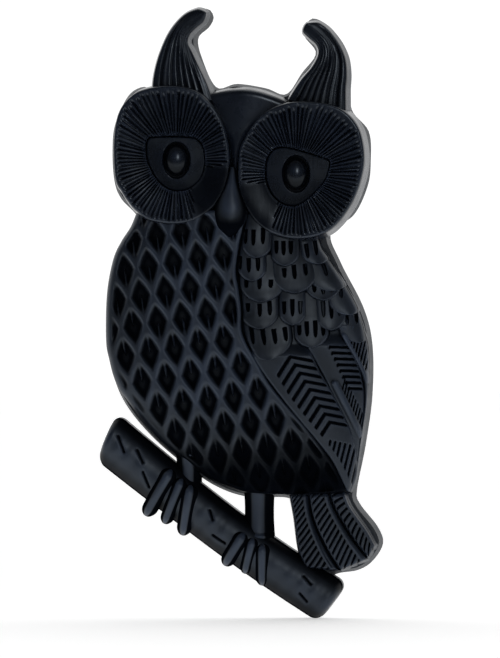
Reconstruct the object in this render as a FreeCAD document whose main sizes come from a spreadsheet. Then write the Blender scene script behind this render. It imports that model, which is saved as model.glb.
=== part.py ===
import FreeCAD, Part
import math
import os
from FreeCAD import Vector

# A wall-hung owl relief, built up from separate carved wooden pieces glued side by side on a
# flat body board. +Z is up, the carving faces -Y and the flat back lies in the plane Y = 0.
# Heights in the names below are measured forwards from that back. All lengths are in mm.

DIMENSIONS = [
    ("board_t", 8.0),
    ("seam", 0.3),
    ("draft", 6.0),
    ("beak_draft", 2.5),
    ("ear_top", 13.5),
    ("crown_top", 17.0),
    ("disc_top", 19.5),
    ("dish_radius", 82.0),
    ("dish_floor", 16.5),
    ("ray_depth", 0.6),
    ("ray_width", 0.6),
    ("ray_start", 7.0),
    ("ray_reach", 21.0),
    ("ray_count", 60.0),
    ("iris_seat", 12.0),
    ("iris_top", 15.0),
    ("pupil_wide", 4.8),
    ("pupil_tall", 6.5),
    ("pupil_deep", 4.6),
    ("pupil_shank", 1.6),
    ("beak_top", 23.0),
    ("breast_top", 20.5),
    ("breast_block", 21.5),
    ("breast_wide", 64.0),
    ("breast_tall", 115.0),
    ("breast_lean", -8.0),
    ("pit_depth", 1.8),
    ("covert_top", 18.5),
    ("wing_block", 19.5),
    ("slot_depth", 1.2),
    ("primary_top", 16.5),
    ("tail_top", 14.5),
    ("branch_tilt", 36.9),
    ("branch_radius", 9.6),
    ("branch_length", 110.0),
    ("branch_axis", 7.0),
    ("branch_round", 4.5),
    ("branch_x", -54.1),
    ("branch_z", -51.0),
    ("leg_axis", 6.5),
    ("leg_radius", 5.2),
    ("dowel_axis", 4.6),
    ("dowel_radius", 1.2),
    ("toe_axis", 15.2),
    ("hang_radius", 4.0),
    ("hang_depth", 6.0),
    ("hang_z", 40.0),
]
SIZE = dict(DIMENSIONS)

# Closed outlines as seen from the front, (x, z). A run of two points is a straight edge and a
# longer run is a smooth curve; a corner stands where two runs meet.
LEFT_EAR = [
    [(-36, 88), (-34.6, 98), (-29.8, 110), (-22.6, 118.2), (-15.4, 121)],
    [(-15.4, 121), (-11.8, 118), (-14, 114), (-17.8, 110), (-17.6, 104), (-14.5, 96), (-11, 88)],
    [(-11, 88), (-22, 78)],
    [(-22, 78), (-36, 88)],
]
RIGHT_EAR = [
    [(17, 85), (24.5, 94.8), (29.8, 103), (25.3, 111)],
    [(25.3, 111), (28, 116.4), (35.4, 113.2), (41, 104.8), (43.2, 94), (42.6, 80)],
    [(42.6, 80), (30, 76)],
    [(30, 76), (17, 85)],
]
CROWN = [
    [(-13, 88.5), (-2.6, 90.3), (9, 88.4), (18.5, 85)],
    [(18.5, 85), (8, 72), (-2, 57)],
    [(-2, 57), (-6, 72), (-13, 88.5)],
]
LEFT_DISC = [[
    (-29, 90.4), (-42.5, 87.2), (-49.6, 78.5), (-51.6, 64), (-49.4, 49.5), (-40, 37.5), (-26.6, 34),
    (-13.8, 38.2), (-6.2, 48.8), (-4, 62), (-7.8, 77.2), (-16.5, 87.4),
]]
RIGHT_DISC = [[
    (25.4, 83.6), (13.4, 81.2), (4.6, 74), (-0.6, 64), (-1.2, 50), (4.6, 36), (14, 29.7), (24, 28.1),
    (34.6, 31.6), (44.6, 41.2), (50.2, 55), (49.4, 69), (39.8, 80.4),
]]
LEFT_IRIS = [
    [(-38, 69.2), (-19.5, 69.2)],
    [(-19.5, 69.2), (-15, 65), (-15.6, 54), (-21.8, 48.2), (-30.2, 49.2), (-36.6, 57), (-38, 69.2)],
]
RIGHT_IRIS = [
    [(35.4, 60), (25.4, 63.2), (18, 64.6)],
    [(18, 64.6), (12, 62), (9.8, 53), (15, 43.6), (23, 41.6), (31, 48.5), (35.4, 60)],
]
BEAK = [
    [(-4.6, 55.6), (-7.8, 49), (-9.8, 38), (-7.4, 29.6)],
    [(-7.4, 29.6), (-3.4, 29)],
    [(-3.4, 29), (1.6, 36), (-0.4, 48), (-2.4, 55.6)],
    [(-2.4, 55.6), (-4.6, 55.6)],
]
BREAST = [
    [(-42, 40), (-47.8, 28), (-52.6, 14), (-54, -4), (-52.6, -20), (-47.4, -34.8), (-32.6, -53.6),
     (-15.4, -66.8), (1.4, -73.2), (19.8, -73.2), (29.4, -65.2), (37, -56)],
    [(37, -56), (46, -20)],
    [(46, -20), (20, 40)],
    [(20, 40), (-42, 40)],
]
WING = [
    [(1.4, 40), (-1.4, 19.2), (-0.6, 8), (0.6, -8), (9.4, -26), (25.4, -46), (35.4, -59.2), (43.6, -75)],
    [(43.6, -75), (50.2, -50), (52.8, -20), (49.6, 0), (37.4, 23.2), (30, 38)],
    [(30, 38), (1.4, 40)],
]
PRIMARY_1 = [
    [(-4, -10), (24, -12), (30.6, -27.2), (41.4, -44), (46.2, -60), (43.6, -78)],
    [(43.6, -78), (20, -60)],
    [(20, -60), (-4, -10)],
]
PRIMARY_2 = [
    [(20, -8), (38, -10), (42, -24), (49.6, -46), (45, -70)],
    [(45, -70), (20, -8)],
]
PRIMARY_3 = [
    [(34, 2), (58, 0)],
    [(58, 0), (56, -50), (45, -72)],
    [(45, -72), (34, 2)],
]
TAIL_1 = [
    [(19, -68), (22.2, -82), (24.2, -96), (27.4, -104.8)],
    [(27.4, -104.8), (31.4, -107.3), (39.4, -104.4)],
    [(39.4, -104.4), (33.4, -95.2), (27.8, -82), (24.6, -64)],
    [(24.6, -64), (19, -68)],
]
TAIL_2 = [
    [(24, -60), (31, -60)],
    [(31, -60), (35.4, -77.2), (43.4, -90.8), (51.4, -100)],
    [(51.4, -100), (46, -104), (38.6, -104.6)],
    [(38.6, -104.6), (31, -92), (24, -60)],
]
TAIL_3 = [
    [(30, -58), (40, -58)],
    [(40, -58), (41, -70), (48.2, -84), (54, -91), (54.6, -96), (50.6, -100.2)],
    [(50.6, -100.2), (40, -86), (34, -74), (30, -58)],
]

# The board's edge stands about 1 mm inside the carved pieces' own edges.
BOARD = [
    [(-34.5, 89), (-33.4, 98), (-29, 109), (-22, 117), (-15.6, 120)],
    [(-15.6, 120), (-13, 117.6), (-15, 114.4), (-19, 109), (-18, 101), (-13, 89)],
    [(-13, 89), (-2.6, 89.4), (9, 87.5), (18, 84.5)],
    [(18, 84.5), (25.3, 94), (30.8, 103), (26.4, 111)],
    [(26.4, 111), (28.5, 115.2), (35, 112), (40, 104.4), (42.2, 94), (41.8, 80)],
    [(41.8, 80), (48.4, 69), (49.2, 55), (44, 42), (35.5, 32.8)],
    [(35.5, 32.8), (36.5, 23), (48.6, 0), (51.8, -20), (49.2, -50), (43, -71)],
    [(43, -71), (47.4, -84), (53, -91), (53.6, -96), (50, -99.4)],
    [(50, -99.4), (46, -103), (38.6, -103.6), (31.4, -106.2), (28, -104)],
    [(28, -104), (25, -96), (23, -82), (20.4, -72.4)],
    [(20.4, -72.4), (1.4, -72.2), (-15.4, -65.8), (-32, -52.8), (-46.6, -34.4), (-51.6, -20), (-53, -4),
     (-51.6, 14), (-47, 27.6), (-41.5, 37.5)],
    [(-41.5, 37.5), (-48.4, 50), (-50.6, 64), (-48.6, 78), (-42, 86.2), (-34.5, 89)],
]

# Wing coverts in the order they overlap: root (x, z), tip (x, z), width.
COVERTS = [
    ("covert_a1", (6.6, 38), (6.4, 20.8), 12.2),
    ("covert_b1", (17.6, 34), (18, 17.6), 12.0),
    ("covert_c1", (29, 32), (31, 18.6), 12.6),
    ("covert_a2", (4, 28), (4.6, 11.6), 13.0),
    ("covert_c2", (30, 24), (37, 7.6), 18.0),
    ("covert_b2", (19, 24), (22.4, 6.6), 19.5),
    ("covert_c3", (40, 14), (45, -1), 15.0),
    ("covert_b3", (31.5, 14), (33.8, 2.8), 16.5),
    ("covert_a3", (8, 18), (8.2, 2.6), 19.5),
    ("covert_b4", (20, 10), (20.8, -6.6), 12.0),
    ("covert_a4", (7.2, 8), (8, -8), 17.0),
    ("covert_b5", (35, 8), (37.4, -8.6), 14.5),
    ("covert_b6", (27, 2), (28.6, -15), 16.5),
    ("covert_c4", (44.5, 4), (49, -13), 15.0),
    ("covert_a5", (9, -4), (12.6, -20.6), 23.0),
]
SLOTS_PER_COVERT = 3
SLOT_WIDTH = 0.9
SLOT_SHARE = 0.42

# Diamond lattice carved in the breast: one cell centre, the step along a row and the step down.
CELL_START = (-17.0, 20.8)
CELL_ACROSS = (10.0, 1.6)
CELL_DOWN = (-3.2, -12.0)
CELL_ROWS = range(-2, 9)
CELL_COLUMNS = range(-6, 8)
PIT_SHARE = 0.64
CELL_MARGIN = 4.5

GROW_STEPS = 14
SHARPEST_MITRE = 0.4

DISC_CENTRES = {"left": (-27.5, 62.0), "right": (24.6, 56.0)}
PUPIL_CENTRES = {"left": (-26.0, 60.0), "right": (21.8, 54.4)}
LEGS = {"left": (-21.2, -56.0, -82.0), "right": (7.0, -66.0, -100.0)}

# Toes: name, root (x, z), tip (x, z), radius.
TOES = [
    ("toe_left_1", (-30.2, -66.0), (-36.6, -77.8), 2.6),
    ("toe_left_2", (-25.6, -69.4), (-29.8, -81.2), 2.3),
    ("toe_left_3", (-21.0, -72.8), (-23.2, -85.8), 2.3),
    ("toe_right_1", (-1.6, -89.0), (-5.4, -98.4), 2.5),
    ("toe_right_2", (3.2, -91.8), (2.0, -102.2), 2.3),
    ("toe_right_3", (8.0, -94.8), (7.6, -106.0), 2.3),
]

# Bark cuts in the branch: start (x, z), end (x, z).
BARK_CUTS = [
    ((-49.4, -50.4), (-47.0, -56.8)),
    ((-41.8, -56.0), (-39.4, -61.2)),
    ((-39.4, -64.8), (-37.0, -70.8)),
    ((-12.6, -80.0), (-11.4, -84.0)),
    ((-11.4, -90.0), (-6.6, -93.2)),
    ((25.0, -106.4), (27.8, -109.6)),
    ((23.4, -113.2), (26.2, -116.4)),
]

doc = FreeCAD.newDocument("owl_relief")


def make_sheet():
    """Holds each driving dimension in a cell with its own alias."""
    sheet = doc.addObject("Spreadsheet::Sheet", "dims")
    for row, (alias, value) in enumerate(DIMENSIONS, start=1):
        sheet.set(f"A{row}", alias)
        sheet.set(f"B{row}", str(value))
        sheet.setAlias(f"B{row}", alias)
    doc.recompute()


def origin_plane(body, role):
    return next(f for f in body.Origin.OriginFeatures if f.Role == role)


def add(kind, name, **properties):
    """Adds one object and sets its properties."""
    thing = doc.addObject(kind, name)
    for key, value in properties.items():
        setattr(thing, key, value)
    return thing


def bind(thing, bindings):
    for path, expression in bindings.items():
        thing.setExpression(path, expression)
    return thing


def run_geometry(run, closed):
    """A straight edge for two points, otherwise a curve through all of them."""
    points = [Vector(x, z, 0) for x, z in run]
    if len(points) == 2:
        return Part.LineSegment(*points)
    curve = Part.BSplineCurve()
    curve.interpolate(Points=points, PeriodicFlag=closed)
    return curve


def outline_geometry(runs):
    closed = len(runs) == 1 and runs[0][0] != runs[0][-1]
    return [run_geometry(run, closed) for run in runs]


def front_sketch(body, name, geometry, height):
    """A sketch in the front plane of a body, a given height forwards from its back."""
    sketch = body.newObject("Sketcher::SketchObject", name)
    sketch.AttachmentSupport = [(origin_plane(body, "XZ_Plane"), "")]
    sketch.MapMode = "FlatFace"
    sketch.addGeometry(geometry, False)
    sketch.setExpression("AttachmentOffset.Base.z", height)
    return sketch


def prism(name, geometry, bottom, top):
    """A body with upright walls raised from one outline."""
    body = doc.addObject("PartDesign::Body", name)
    sketch = front_sketch(body, f"{name}_outline", geometry, bottom)
    pad = body.newObject("PartDesign::Pad", f"{name}_pad")
    pad.Profile = sketch
    pad.setExpression("Length", f"{top} - ({bottom})")
    sketch.Visibility = False
    return body


def carved(name, runs, bottom, top, draft="draft"):
    """A body raised from one outline, with its side walls leaning inwards as they rise."""
    body = doc.addObject("PartDesign::Body", name)
    geometry = outline_geometry(runs) if isinstance(runs[0], list) else runs
    inset = (SIZE[top] - SIZE[bottom]) * math.tan(math.radians(SIZE[draft]))
    lower = front_sketch(body, f"{name}_outline", geometry, f"dims.{bottom}")
    upper = front_sketch(body, f"{name}_front", grown(geometry, -inset), f"dims.{top}")
    loft = body.newObject("PartDesign::AdditiveLoft", f"{name}_loft")
    loft.Profile = lower
    loft.Sections = [upper]
    loft.Ruled = True
    lower.Visibility = False
    upper.Visibility = False
    return body


def sampled(curve):
    first, last = curve.FirstParameter, curve.LastParameter
    return [curve.value(first + (last - first) * step / GROW_STEPS) for step in range(GROW_STEPS + 1)]


def outward(points, index, turn, closed):
    """The unit normal that leaves the outline at one sampled point."""
    count = len(points)
    before = points[(index - 1) % count] if closed else points[max(index - 1, 0)]
    after = points[(index + 1) % count] if closed else points[min(index + 1, count - 1)]
    along = (after - before).normalize()
    return Vector(along.y, -along.x, 0) * turn


def chained(geometry):
    """Sampled points of each curve, every one starting where the one before it ends."""
    chains = [sampled(curve) for curve in geometry]
    for before, chain in zip(chains, chains[1:]):
        if (chain[-1] - before[-1]).Length < (chain[0] - before[-1]).Length:
            chain.reverse()
    return chains


def turning(points):
    """+1 for an outline that runs anticlockwise, -1 for a clockwise one."""
    pairs = zip(points, points[1:] + points[:1])
    return math.copysign(1, sum(a.x * b.y - b.x * a.y for a, b in pairs))


def grown(geometry, distance):
    """The same closed outline moved outwards by a distance, with mitred corners."""
    chains = chained(geometry)
    turn = turning([point for chain in chains for point in chain[:-1]])
    if len(chains) == 1:
        points = chains[0][:-1]
        moved = [point + outward(points, i, turn, True) * distance for i, point in enumerate(points)]
        curve = Part.BSplineCurve()
        curve.interpolate(Points=moved, PeriodicFlag=True)
        return [curve]
    corners = []
    for before, chain in zip([chains[-1]] + chains[:-1], chains):
        leaving = outward(before, len(before) - 1, turn, False)
        entering = outward(chain, 0, turn, False)
        reach = distance / max(1 + leaving.dot(entering), SHARPEST_MITRE)
        corners.append(chain[0] + (leaving + entering) * reach)
    moved = []
    for number, (chain, curve) in enumerate(zip(chains, geometry)):
        start, end = corners[number], corners[(number + 1) % len(corners)]
        if isinstance(curve, Part.LineSegment):
            moved.append(Part.LineSegment(start, end))
            continue
        inner = [chain[i] + outward(chain, i, turn, False) * distance for i in range(1, GROW_STEPS)]
        spline = Part.BSplineCurve()
        spline.interpolate(Points=[start] + inner + [end], PeriodicFlag=False)
        moved.append(spline)
    return moved


def cutter(name, geometry, bottom="0", top="60"):
    """The same outline grown by the seam gap, to clear room for a neighbour."""
    return prism(f"{name}_cutter", grown(geometry, SIZE["seam"]), bottom, top)


def joined(name, shapes):
    return shapes[0] if len(shapes) == 1 else add("Part::MultiFuse", name, Shapes=shapes)


def cut(name, base, tools):
    return add("Part::Cut", name, Base=base, Tool=joined(f"{name}_tools", tools))


def tongue(root, tip, width):
    """A feather outline: two straight sides and a round tip."""
    along = Vector(tip[0] - root[0], tip[1] - root[1], 0)
    length = along.Length
    along.normalize()
    side = Vector(-along.y, along.x, 0) * (width / 2)
    start = Vector(root[0], root[1], 0)
    shoulder = start + along * (length - width * 0.36)
    end = Vector(tip[0], tip[1], 0)
    return [
        Part.LineSegment(start + side, shoulder + side),
        Part.Arc(shoulder + side, end, shoulder - side),
        Part.LineSegment(shoulder - side, start - side),
        Part.LineSegment(start - side, start + side),
    ]


def rectangle(centre_a, centre_b, width):
    """Four edges round a straight cut of a given width between two points."""
    a = Vector(centre_a[0], centre_a[1], 0)
    b = Vector(centre_b[0], centre_b[1], 0)
    along = b - a
    along.normalize()
    side = Vector(-along.y, along.x, 0) * (width / 2)
    corners = [a + side, b + side, b - side, a - side]
    return [Part.LineSegment(corners[i], corners[(i + 1) % 4]) for i in range(4)]


def feather_slots(root, tip, width):
    """Short cuts running up from near a covert's tip."""
    length = math.dist(root, tip)
    ux, uz = (tip[0] - root[0]) / length, (tip[1] - root[1]) / length
    geometry = []
    for number in range(SLOTS_PER_COVERT):
        across = ((number + 1) / (SLOTS_PER_COVERT + 1) - 0.5) * width
        end = (tip[0] - ux * 2.2 - uz * across, tip[1] - uz * 2.2 + ux * across)
        start = (end[0] - ux * length * SLOT_SHARE, end[1] - uz * length * SLOT_SHARE)
        geometry += rectangle(start, end, SLOT_WIDTH)
    return geometry


def add_pocket(body, name, geometry, height, depth):
    """Cuts a set of closed outlines backwards into a body from a given height."""
    sketch = front_sketch(body, f"{name}_outline", geometry, height)
    pocket = body.newObject("PartDesign::Pocket", name)
    pocket.Profile = sketch
    pocket.setExpression("Length", depth)
    sketch.Visibility = False
    return pocket


def sphere_at(name, radius, x, height, z):
    sphere = add("Part::Sphere", name)
    return bind(sphere, {
        "Radius": radius,
        "Placement.Base.x": f"{x}",
        "Placement.Base.y": f"-({height})",
        "Placement.Base.z": f"{z}",
    })


BREAST_MIDDLE = Vector(-8, 0, -12)


def dome(name, inset):
    """The swelling front of the breast, as a leaning ellipsoid about the back plane."""
    shape = add("Part::Ellipsoid", name)
    shape.Placement = FreeCAD.Placement(BREAST_MIDDLE, FreeCAD.Rotation(Vector(0, 1, 0), 1))
    return bind(shape, {
        "Radius1": f"dims.breast_tall - {inset}",
        "Radius2": f"dims.breast_wide - {inset}",
        "Radius3": f"dims.breast_top - {inset}",
        "Placement.Rotation.Angle": "dims.breast_lean",
    })


def lattice_cells():
    """Every diamond whose centre stands clear of the breast's edge."""
    face = Part.Face(Part.Wire([g.toShape() for g in outline_geometry(BREAST)]))
    wing = Part.Face(Part.Wire([g.toShape() for g in outline_geometry(WING)]))
    rows = [(CELL_START[0] + i * CELL_ACROSS[0] + j * CELL_DOWN[0],
             CELL_START[1] + i * CELL_ACROSS[1] + j * CELL_DOWN[1])
            for j in CELL_ROWS for i in CELL_COLUMNS]
    half_wide = Vector(CELL_ACROSS[0] / 2, CELL_ACROSS[1] / 2, 0) * PIT_SHARE
    half_tall = Vector(CELL_DOWN[0] + CELL_ACROSS[0] / 2, CELL_DOWN[1] + CELL_ACROSS[1] / 2, 0) * PIT_SHARE
    geometry = []
    for x, z in rows:
        centre = Vector(x, z, 0)
        clear_of_edge = face.isInside(centre, 0, True)
        clear_of_edge = clear_of_edge and face.OuterWire.distToShape(Part.Vertex(centre))[0] > CELL_MARGIN
        if not clear_of_edge or wing.isInside(centre, 0, True):
            continue
        corners = [centre + half_wide, centre + half_tall, centre - half_wide, centre - half_tall]
        geometry += [Part.LineSegment(corners[i], corners[(i + 1) % 4]) for i in range(4)]
    return geometry


def ray_lines(x, z):
    """Narrow rays spreading from a disc's centre."""
    geometry = []
    count = int(SIZE["ray_count"])
    for number in range(count):
        angle = 2 * math.pi * number / count
        ends = [(x + math.cos(angle) * reach, z + math.sin(angle) * reach)
                for reach in (SIZE["ray_start"], SIZE["ray_reach"])]
        geometry += rectangle(ends[0], ends[1], SIZE["ray_width"])
    return geometry


def eye_disc(side, outline, iris):
    """A dished face disc with fine rays and a seat for the iris."""
    x, z = DISC_CENTRES[side]
    name = f"eye_disc_{side}"
    blank = carved(f"{name}_blank", outline, "board_t", "disc_top")
    dish = sphere_at(f"{name}_dish", "dims.dish_radius", x, "dims.dish_floor + dims.dish_radius", z)
    blades = prism(f"{name}_blades", ray_lines(x, z), "dims.board_t", "dims.disc_top")
    floor = sphere_at(f"{name}_ray_floor", "dims.dish_radius + dims.ray_depth", x,
                      "dims.dish_floor + dims.dish_radius", z)
    rays = add("Part::Common", f"{name}_ray_cuts", Base=blades, Tool=floor)
    seat = cutter(f"iris_{side}", outline_geometry(iris), "dims.iris_seat")
    dished = cut(f"{name}_dished", blank, [dish, seat])
    return cut(f"{name}_carved", dished, [rays])


def pupil(side):
    """An oval domed button with a round shank let into the iris and the disc."""
    x, z = PUPIL_CENTRES[side]
    button = add("Part::Ellipsoid", f"pupil_{side}_button")
    bind(button, {
        "Radius1": "dims.pupil_tall",
        "Radius2": "dims.pupil_wide",
        "Radius3": "dims.pupil_deep",
        "Placement.Base.x": f"{x}",
        "Placement.Base.y": "-dims.iris_top",
        "Placement.Base.z": f"{z}",
    })
    front = add("Part::Box", f"pupil_{side}_front")
    bind(front, {
        "Length": "30",
        "Width": "20",
        "Height": "30",
        "Placement.Base.x": f"{x - 15}",
        "Placement.Base.y": "-dims.iris_top - 20",
        "Placement.Base.z": f"{z - 15}",
    })
    head = add("Part::Common", f"pupil_{side}_head", Base=button, Tool=front)
    low, high = "dims.board_t + dims.seam", "dims.iris_top + dims.seam"
    shank = peg(f"pupil_{side}_shank", "dims.pupil_shank", x, z, low, high)
    return add("Part::Fuse", f"pupil_{side}", Base=head, Tool=shank)


def peg(name, radius, x, z, bottom, top):
    """A round bar standing forwards from one height to another."""
    bar = add("Part::Cylinder", name)
    bar.Placement = FreeCAD.Placement(Vector(x, 0, z), FreeCAD.Rotation(Vector(1, 0, 0), 90))
    return bind(bar, {
        "Radius": radius,
        "Height": f"{top} - ({bottom})",
        "Placement.Base.y": f"-({bottom})",
    })


def branch_solid(name, grow):
    """A round branch with softened ends, lying along its own axis down to the right."""
    body = doc.addObject("PartDesign::Body", name)
    radius = SIZE["branch_radius"] + grow
    length = SIZE["branch_length"] + grow
    corner = SIZE["branch_round"]
    bevel = corner * (1 - math.cos(math.radians(45)))
    left, right = Vector(-grow, 0, 0), Vector(length, 0, 0)
    left_low, left_high = Vector(-grow, radius - corner, 0), Vector(corner - grow, radius, 0)
    right_high, right_low = Vector(length - corner, radius, 0), Vector(length, radius - corner, 0)
    profile = [
        Part.LineSegment(left, left_low),
        Part.Arc(left_low, Vector(bevel - grow, radius - bevel, 0), left_high),
        Part.LineSegment(left_high, right_high),
        Part.Arc(right_high, Vector(length - bevel, radius - bevel, 0), right_low),
        Part.LineSegment(right_low, right),
        Part.LineSegment(right, left),
    ]
    sketch = front_sketch(body, f"{name}_profile", profile, "0")
    turn = body.newObject("PartDesign::Revolution", f"{name}_turn")
    turn.Profile = sketch
    turn.ReferenceAxis = (sketch, ["H_Axis"])
    turn.Angle = 360
    body.Placement = FreeCAD.Placement(Vector(), FreeCAD.Rotation(Vector(0, 1, 0), 1))
    return bind(body, {
        "Placement.Base.x": "dims.branch_x",
        "Placement.Base.y": "-dims.branch_axis",
        "Placement.Base.z": "dims.branch_z",
        "Placement.Rotation.Angle": "dims.branch_tilt",
    })


def toe(name, root, tip, radius):
    """A toe as a round bar with ball ends, lying across the front of the branch."""
    bar = add("Part::Cylinder", f"{name}_bar", Radius=radius, Height=math.dist(root, tip))
    turn = FreeCAD.Rotation(Vector(0, 0, 1), Vector(tip[0] - root[0], 0, tip[1] - root[1]))
    bar.Placement = FreeCAD.Placement(Vector(root[0], 0, root[1]), turn)
    bar.setExpression("Placement.Base.y", "-dims.toe_axis")
    ends = [sphere_at(f"{name}_{label}", f"{radius}", x, "dims.toe_axis", z)
            for label, (x, z) in (("root", root), ("tip", tip))]
    return add("Part::MultiFuse", f"{name}_blank", Shapes=[bar] + ends)


def upright(name, radius, x, depth, bottom, top):
    """A round bar standing upright at a given depth."""
    bar = add("Part::Cylinder", name)
    bar.Height = top - bottom
    return bind(bar, {
        "Radius": radius,
        "Placement.Base.x": f"{x}",
        "Placement.Base.y": f"-({depth})",
        "Placement.Base.z": f"{bottom}",
    })


def near(shape, other):
    return shape.BoundBox.intersect(other.BoundBox)


def fitted(name, blank, tools):
    """A blank cut back to leave the seam gap beside each neighbour that reaches it."""
    doc.recompute()
    reaching = [tool for tool in tools if near(blank.Shape, tool.Shape)]
    return cut(name, blank, reaching) if reaching else blank


def head_pieces(clear):
    """Ear tufts, crown, face discs, irises, pupils and beak."""
    discs = [clear["eye_disc_left"], clear["eye_disc_right"]]
    pieces = {}
    crown = carved("crown_blank", CROWN, "board_t", "crown_top")
    pieces["crown"] = fitted("crown_fitted", crown, discs + [clear["beak"]])
    for side, outline in (("left", LEFT_EAR), ("right", RIGHT_EAR)):
        name = f"ear_tuft_{side}"
        tuft = carved(f"{name}_blank", outline, "board_t", "ear_top")
        pieces[name] = fitted(f"{name}_fitted", tuft, discs + [clear["crown"]])
    for side, outline, iris in (("left", LEFT_DISC, LEFT_IRIS), ("right", RIGHT_DISC, RIGHT_IRIS)):
        disc = eye_disc(side, outline, iris)
        x, z = PUPIL_CENTRES[side]
        bore = peg(f"pupil_{side}_bore", "dims.pupil_shank + dims.seam", x, z, "dims.board_t", "60")
        pieces[f"eye_disc_{side}"] = fitted(f"eye_disc_{side}_fitted", disc, [clear["beak"], bore])
        plate = carved(f"iris_{side}_blank", iris, "iris_seat", "iris_top")
        pieces[f"iris_{side}"] = cut(f"iris_{side}_bored", plate, [bore])
        pieces[f"pupil_{side}"] = pupil(side)
    pieces["beak"] = carved("beak_blank", BEAK, "board_t", "beak_top", "beak_draft")
    return pieces


def breast_piece(clear):
    """The domed breast with its lattice of diamond pits."""
    blank = carved("breast_blank", BREAST, "board_t", "breast_block")
    domed = add("Part::Common", "breast_domed", Base=blank, Tool=dome("breast_dome", 0))
    diamonds = prism("breast_diamonds", lattice_cells(), "dims.board_t", "dims.breast_top + 1")
    pits = add("Part::Cut", "breast_pits", Base=diamonds, Tool=dome("breast_pit_floor", "dims.pit_depth"))
    pitted = cut("breast_pitted", domed, [pits])
    tools = [clear[name] for name in ("eye_disc_left", "eye_disc_right", "beak", "wing")]
    return fitted("breast_fitted", pitted, tools)


def wing_pieces(clear):
    """Overlapping coverts above three long primaries, all inside the wing outline."""
    pieces = {}
    discs = [clear["eye_disc_left"], clear["eye_disc_right"], clear["beak"]]
    above = []
    for name, root, tip, width in COVERTS:
        feather = carved(f"{name}_blank", tongue(root, tip, width), "board_t", "covert_top")
        slots = feather_slots(root, tip, width)
        add_pocket(feather, f"{name}_slots", slots, "dims.covert_top", "dims.slot_depth")
        pieces[name] = wing_part(name, feather, discs + above)
        above.append(cutter(name, tongue(root, tip, width), "dims.board_t"))
    for number, outline in enumerate((PRIMARY_1, PRIMARY_2, PRIMARY_3), start=1):
        name = f"primary_{number}"
        blank = carved(f"{name}_blank", outline, "board_t", "primary_top")
        pieces[name] = wing_part(name, blank, discs + above)
        above.append(cutter(name, outline_geometry(outline), "dims.board_t"))
    return pieces


def wing_part(name, blank, tools):
    """Trims one feather to the wing outline, then fits it beside its neighbours."""
    limit = carved(f"{name}_limit", WING, "board_t", "wing_block")
    trimmed = add("Part::Common", f"{name}_trimmed", Base=blank, Tool=limit)
    return fitted(f"{name}_fitted", trimmed, tools)


def tail_pieces(clear):
    """Three tail feathers side by side, tucked under the breast and the wing."""
    pieces = {}
    above = [clear["breast"], clear["wing"]]
    for number, outline in ((2, TAIL_2), (1, TAIL_1), (3, TAIL_3)):
        name = f"tail_feather_{number}"
        blank = carved(f"{name}_blank", outline, "board_t", "tail_top")
        pieces[name] = fitted(f"{name}_fitted", blank, above)
        above = above + [cutter(name, outline_geometry(outline), "dims.board_t")]
    return pieces


def stand_pieces(tail_cutters, body_cutters):
    """Branch, legs, leg dowels and toes."""
    pieces = {}
    room = branch_solid("branch_room", SIZE["seam"])
    bores = []
    for side, (x, high, low) in LEGS.items():
        leg = upright(f"leg_{side}_blank", "dims.leg_radius", x, "dims.leg_axis", low, high)
        bore = upright(
            f"leg_{side}_bore", "dims.dowel_radius + dims.seam", x, "dims.dowel_axis", low + 0.7, high + 3.3)
        pieces[f"leg_{side}"] = cut(f"leg_{side}_fitted", leg, body_cutters + [room, bore])
        pieces[f"leg_dowel_{side}"] = upright(
            f"leg_dowel_{side}", "dims.dowel_radius", x, "dims.dowel_axis", low + 1, high + 3)
        bores.append(bore)
    front = add("Part::Box", "front_half", Length=300, Width=60, Height=300)
    front.Placement = FreeCAD.Placement(Vector(-150, -60, -200), FreeCAD.Rotation())
    branch = add("Part::Common", "branch_front", Base=branch_solid("branch_turned", 0), Tool=front)
    lines = [edge for start, end in BARK_CUTS for edge in rectangle(start, end, SLOT_WIDTH)]
    bark = prism("bark_cuts", lines, "dims.branch_axis + dims.branch_radius * 0.8", "dims.breast_top")
    pieces["branch"] = cut("branch_fitted", branch, tail_cutters + [bark] + bores)
    for name, root, tip, radius in TOES:
        pieces[name] = cut(f"{name}_fitted", toe(name, root, tip, radius), [room])
    return pieces, room, bores


def board_piece(room, bores):
    """The flat board behind the whole owl, open only where the branch crosses it."""
    whole = prism("board_blank", outline_geometry(BOARD), "0", "dims.board_t")
    hole = peg("hang_hole", "dims.hang_radius", 0, 0, "0", "dims.hang_depth")
    hole.setExpression("Placement.Base.z", "dims.hang_z")
    return cut("body_board_fitted", whole, [hole, room] + bores)


def export(pieces):
    """Labels every piece, checks it and writes its STEP file."""
    doc.recompute()
    os.makedirs("parts", exist_ok=True)
    for thing in doc.Objects:
        if not thing.isValid():
            raise RuntimeError(f"{thing.Name} did not rebuild: {thing.getStatusString()}")
    for name, piece in pieces.items():
        piece.Label = name
        shape = piece.Shape
        if shape.isNull() or not shape.isValid():
            raise RuntimeError(f"{name} has no valid shape")
        shape.exportStep(f"parts/{name}.step")


def build():
    outlines = {
        "crown": CROWN,
        "eye_disc_left": LEFT_DISC,
        "eye_disc_right": RIGHT_DISC,
        "beak": BEAK,
        "breast": BREAST,
        "wing": WING,
    }
    clear = {name: cutter(name, outline_geometry(runs), "dims.board_t") for name, runs in outlines.items()}
    pieces = head_pieces(clear)
    pieces["breast"] = breast_piece(clear)
    pieces.update(wing_pieces(clear))
    pieces.update(tail_pieces(clear))
    tails = [cutter(f"tail_lap_{number}", outline_geometry(outline), "dims.board_t")
             for number, outline in enumerate((TAIL_1, TAIL_2, TAIL_3), start=1)]
    board_clear = cutter("board", outline_geometry(BOARD), "0", "dims.board_t")
    stand, room, bores = stand_pieces(tails, [clear["breast"], board_clear])
    pieces.update(stand)
    pieces["body_board"] = board_piece(room, bores)
    export(pieces)


make_sheet()
build()
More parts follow.
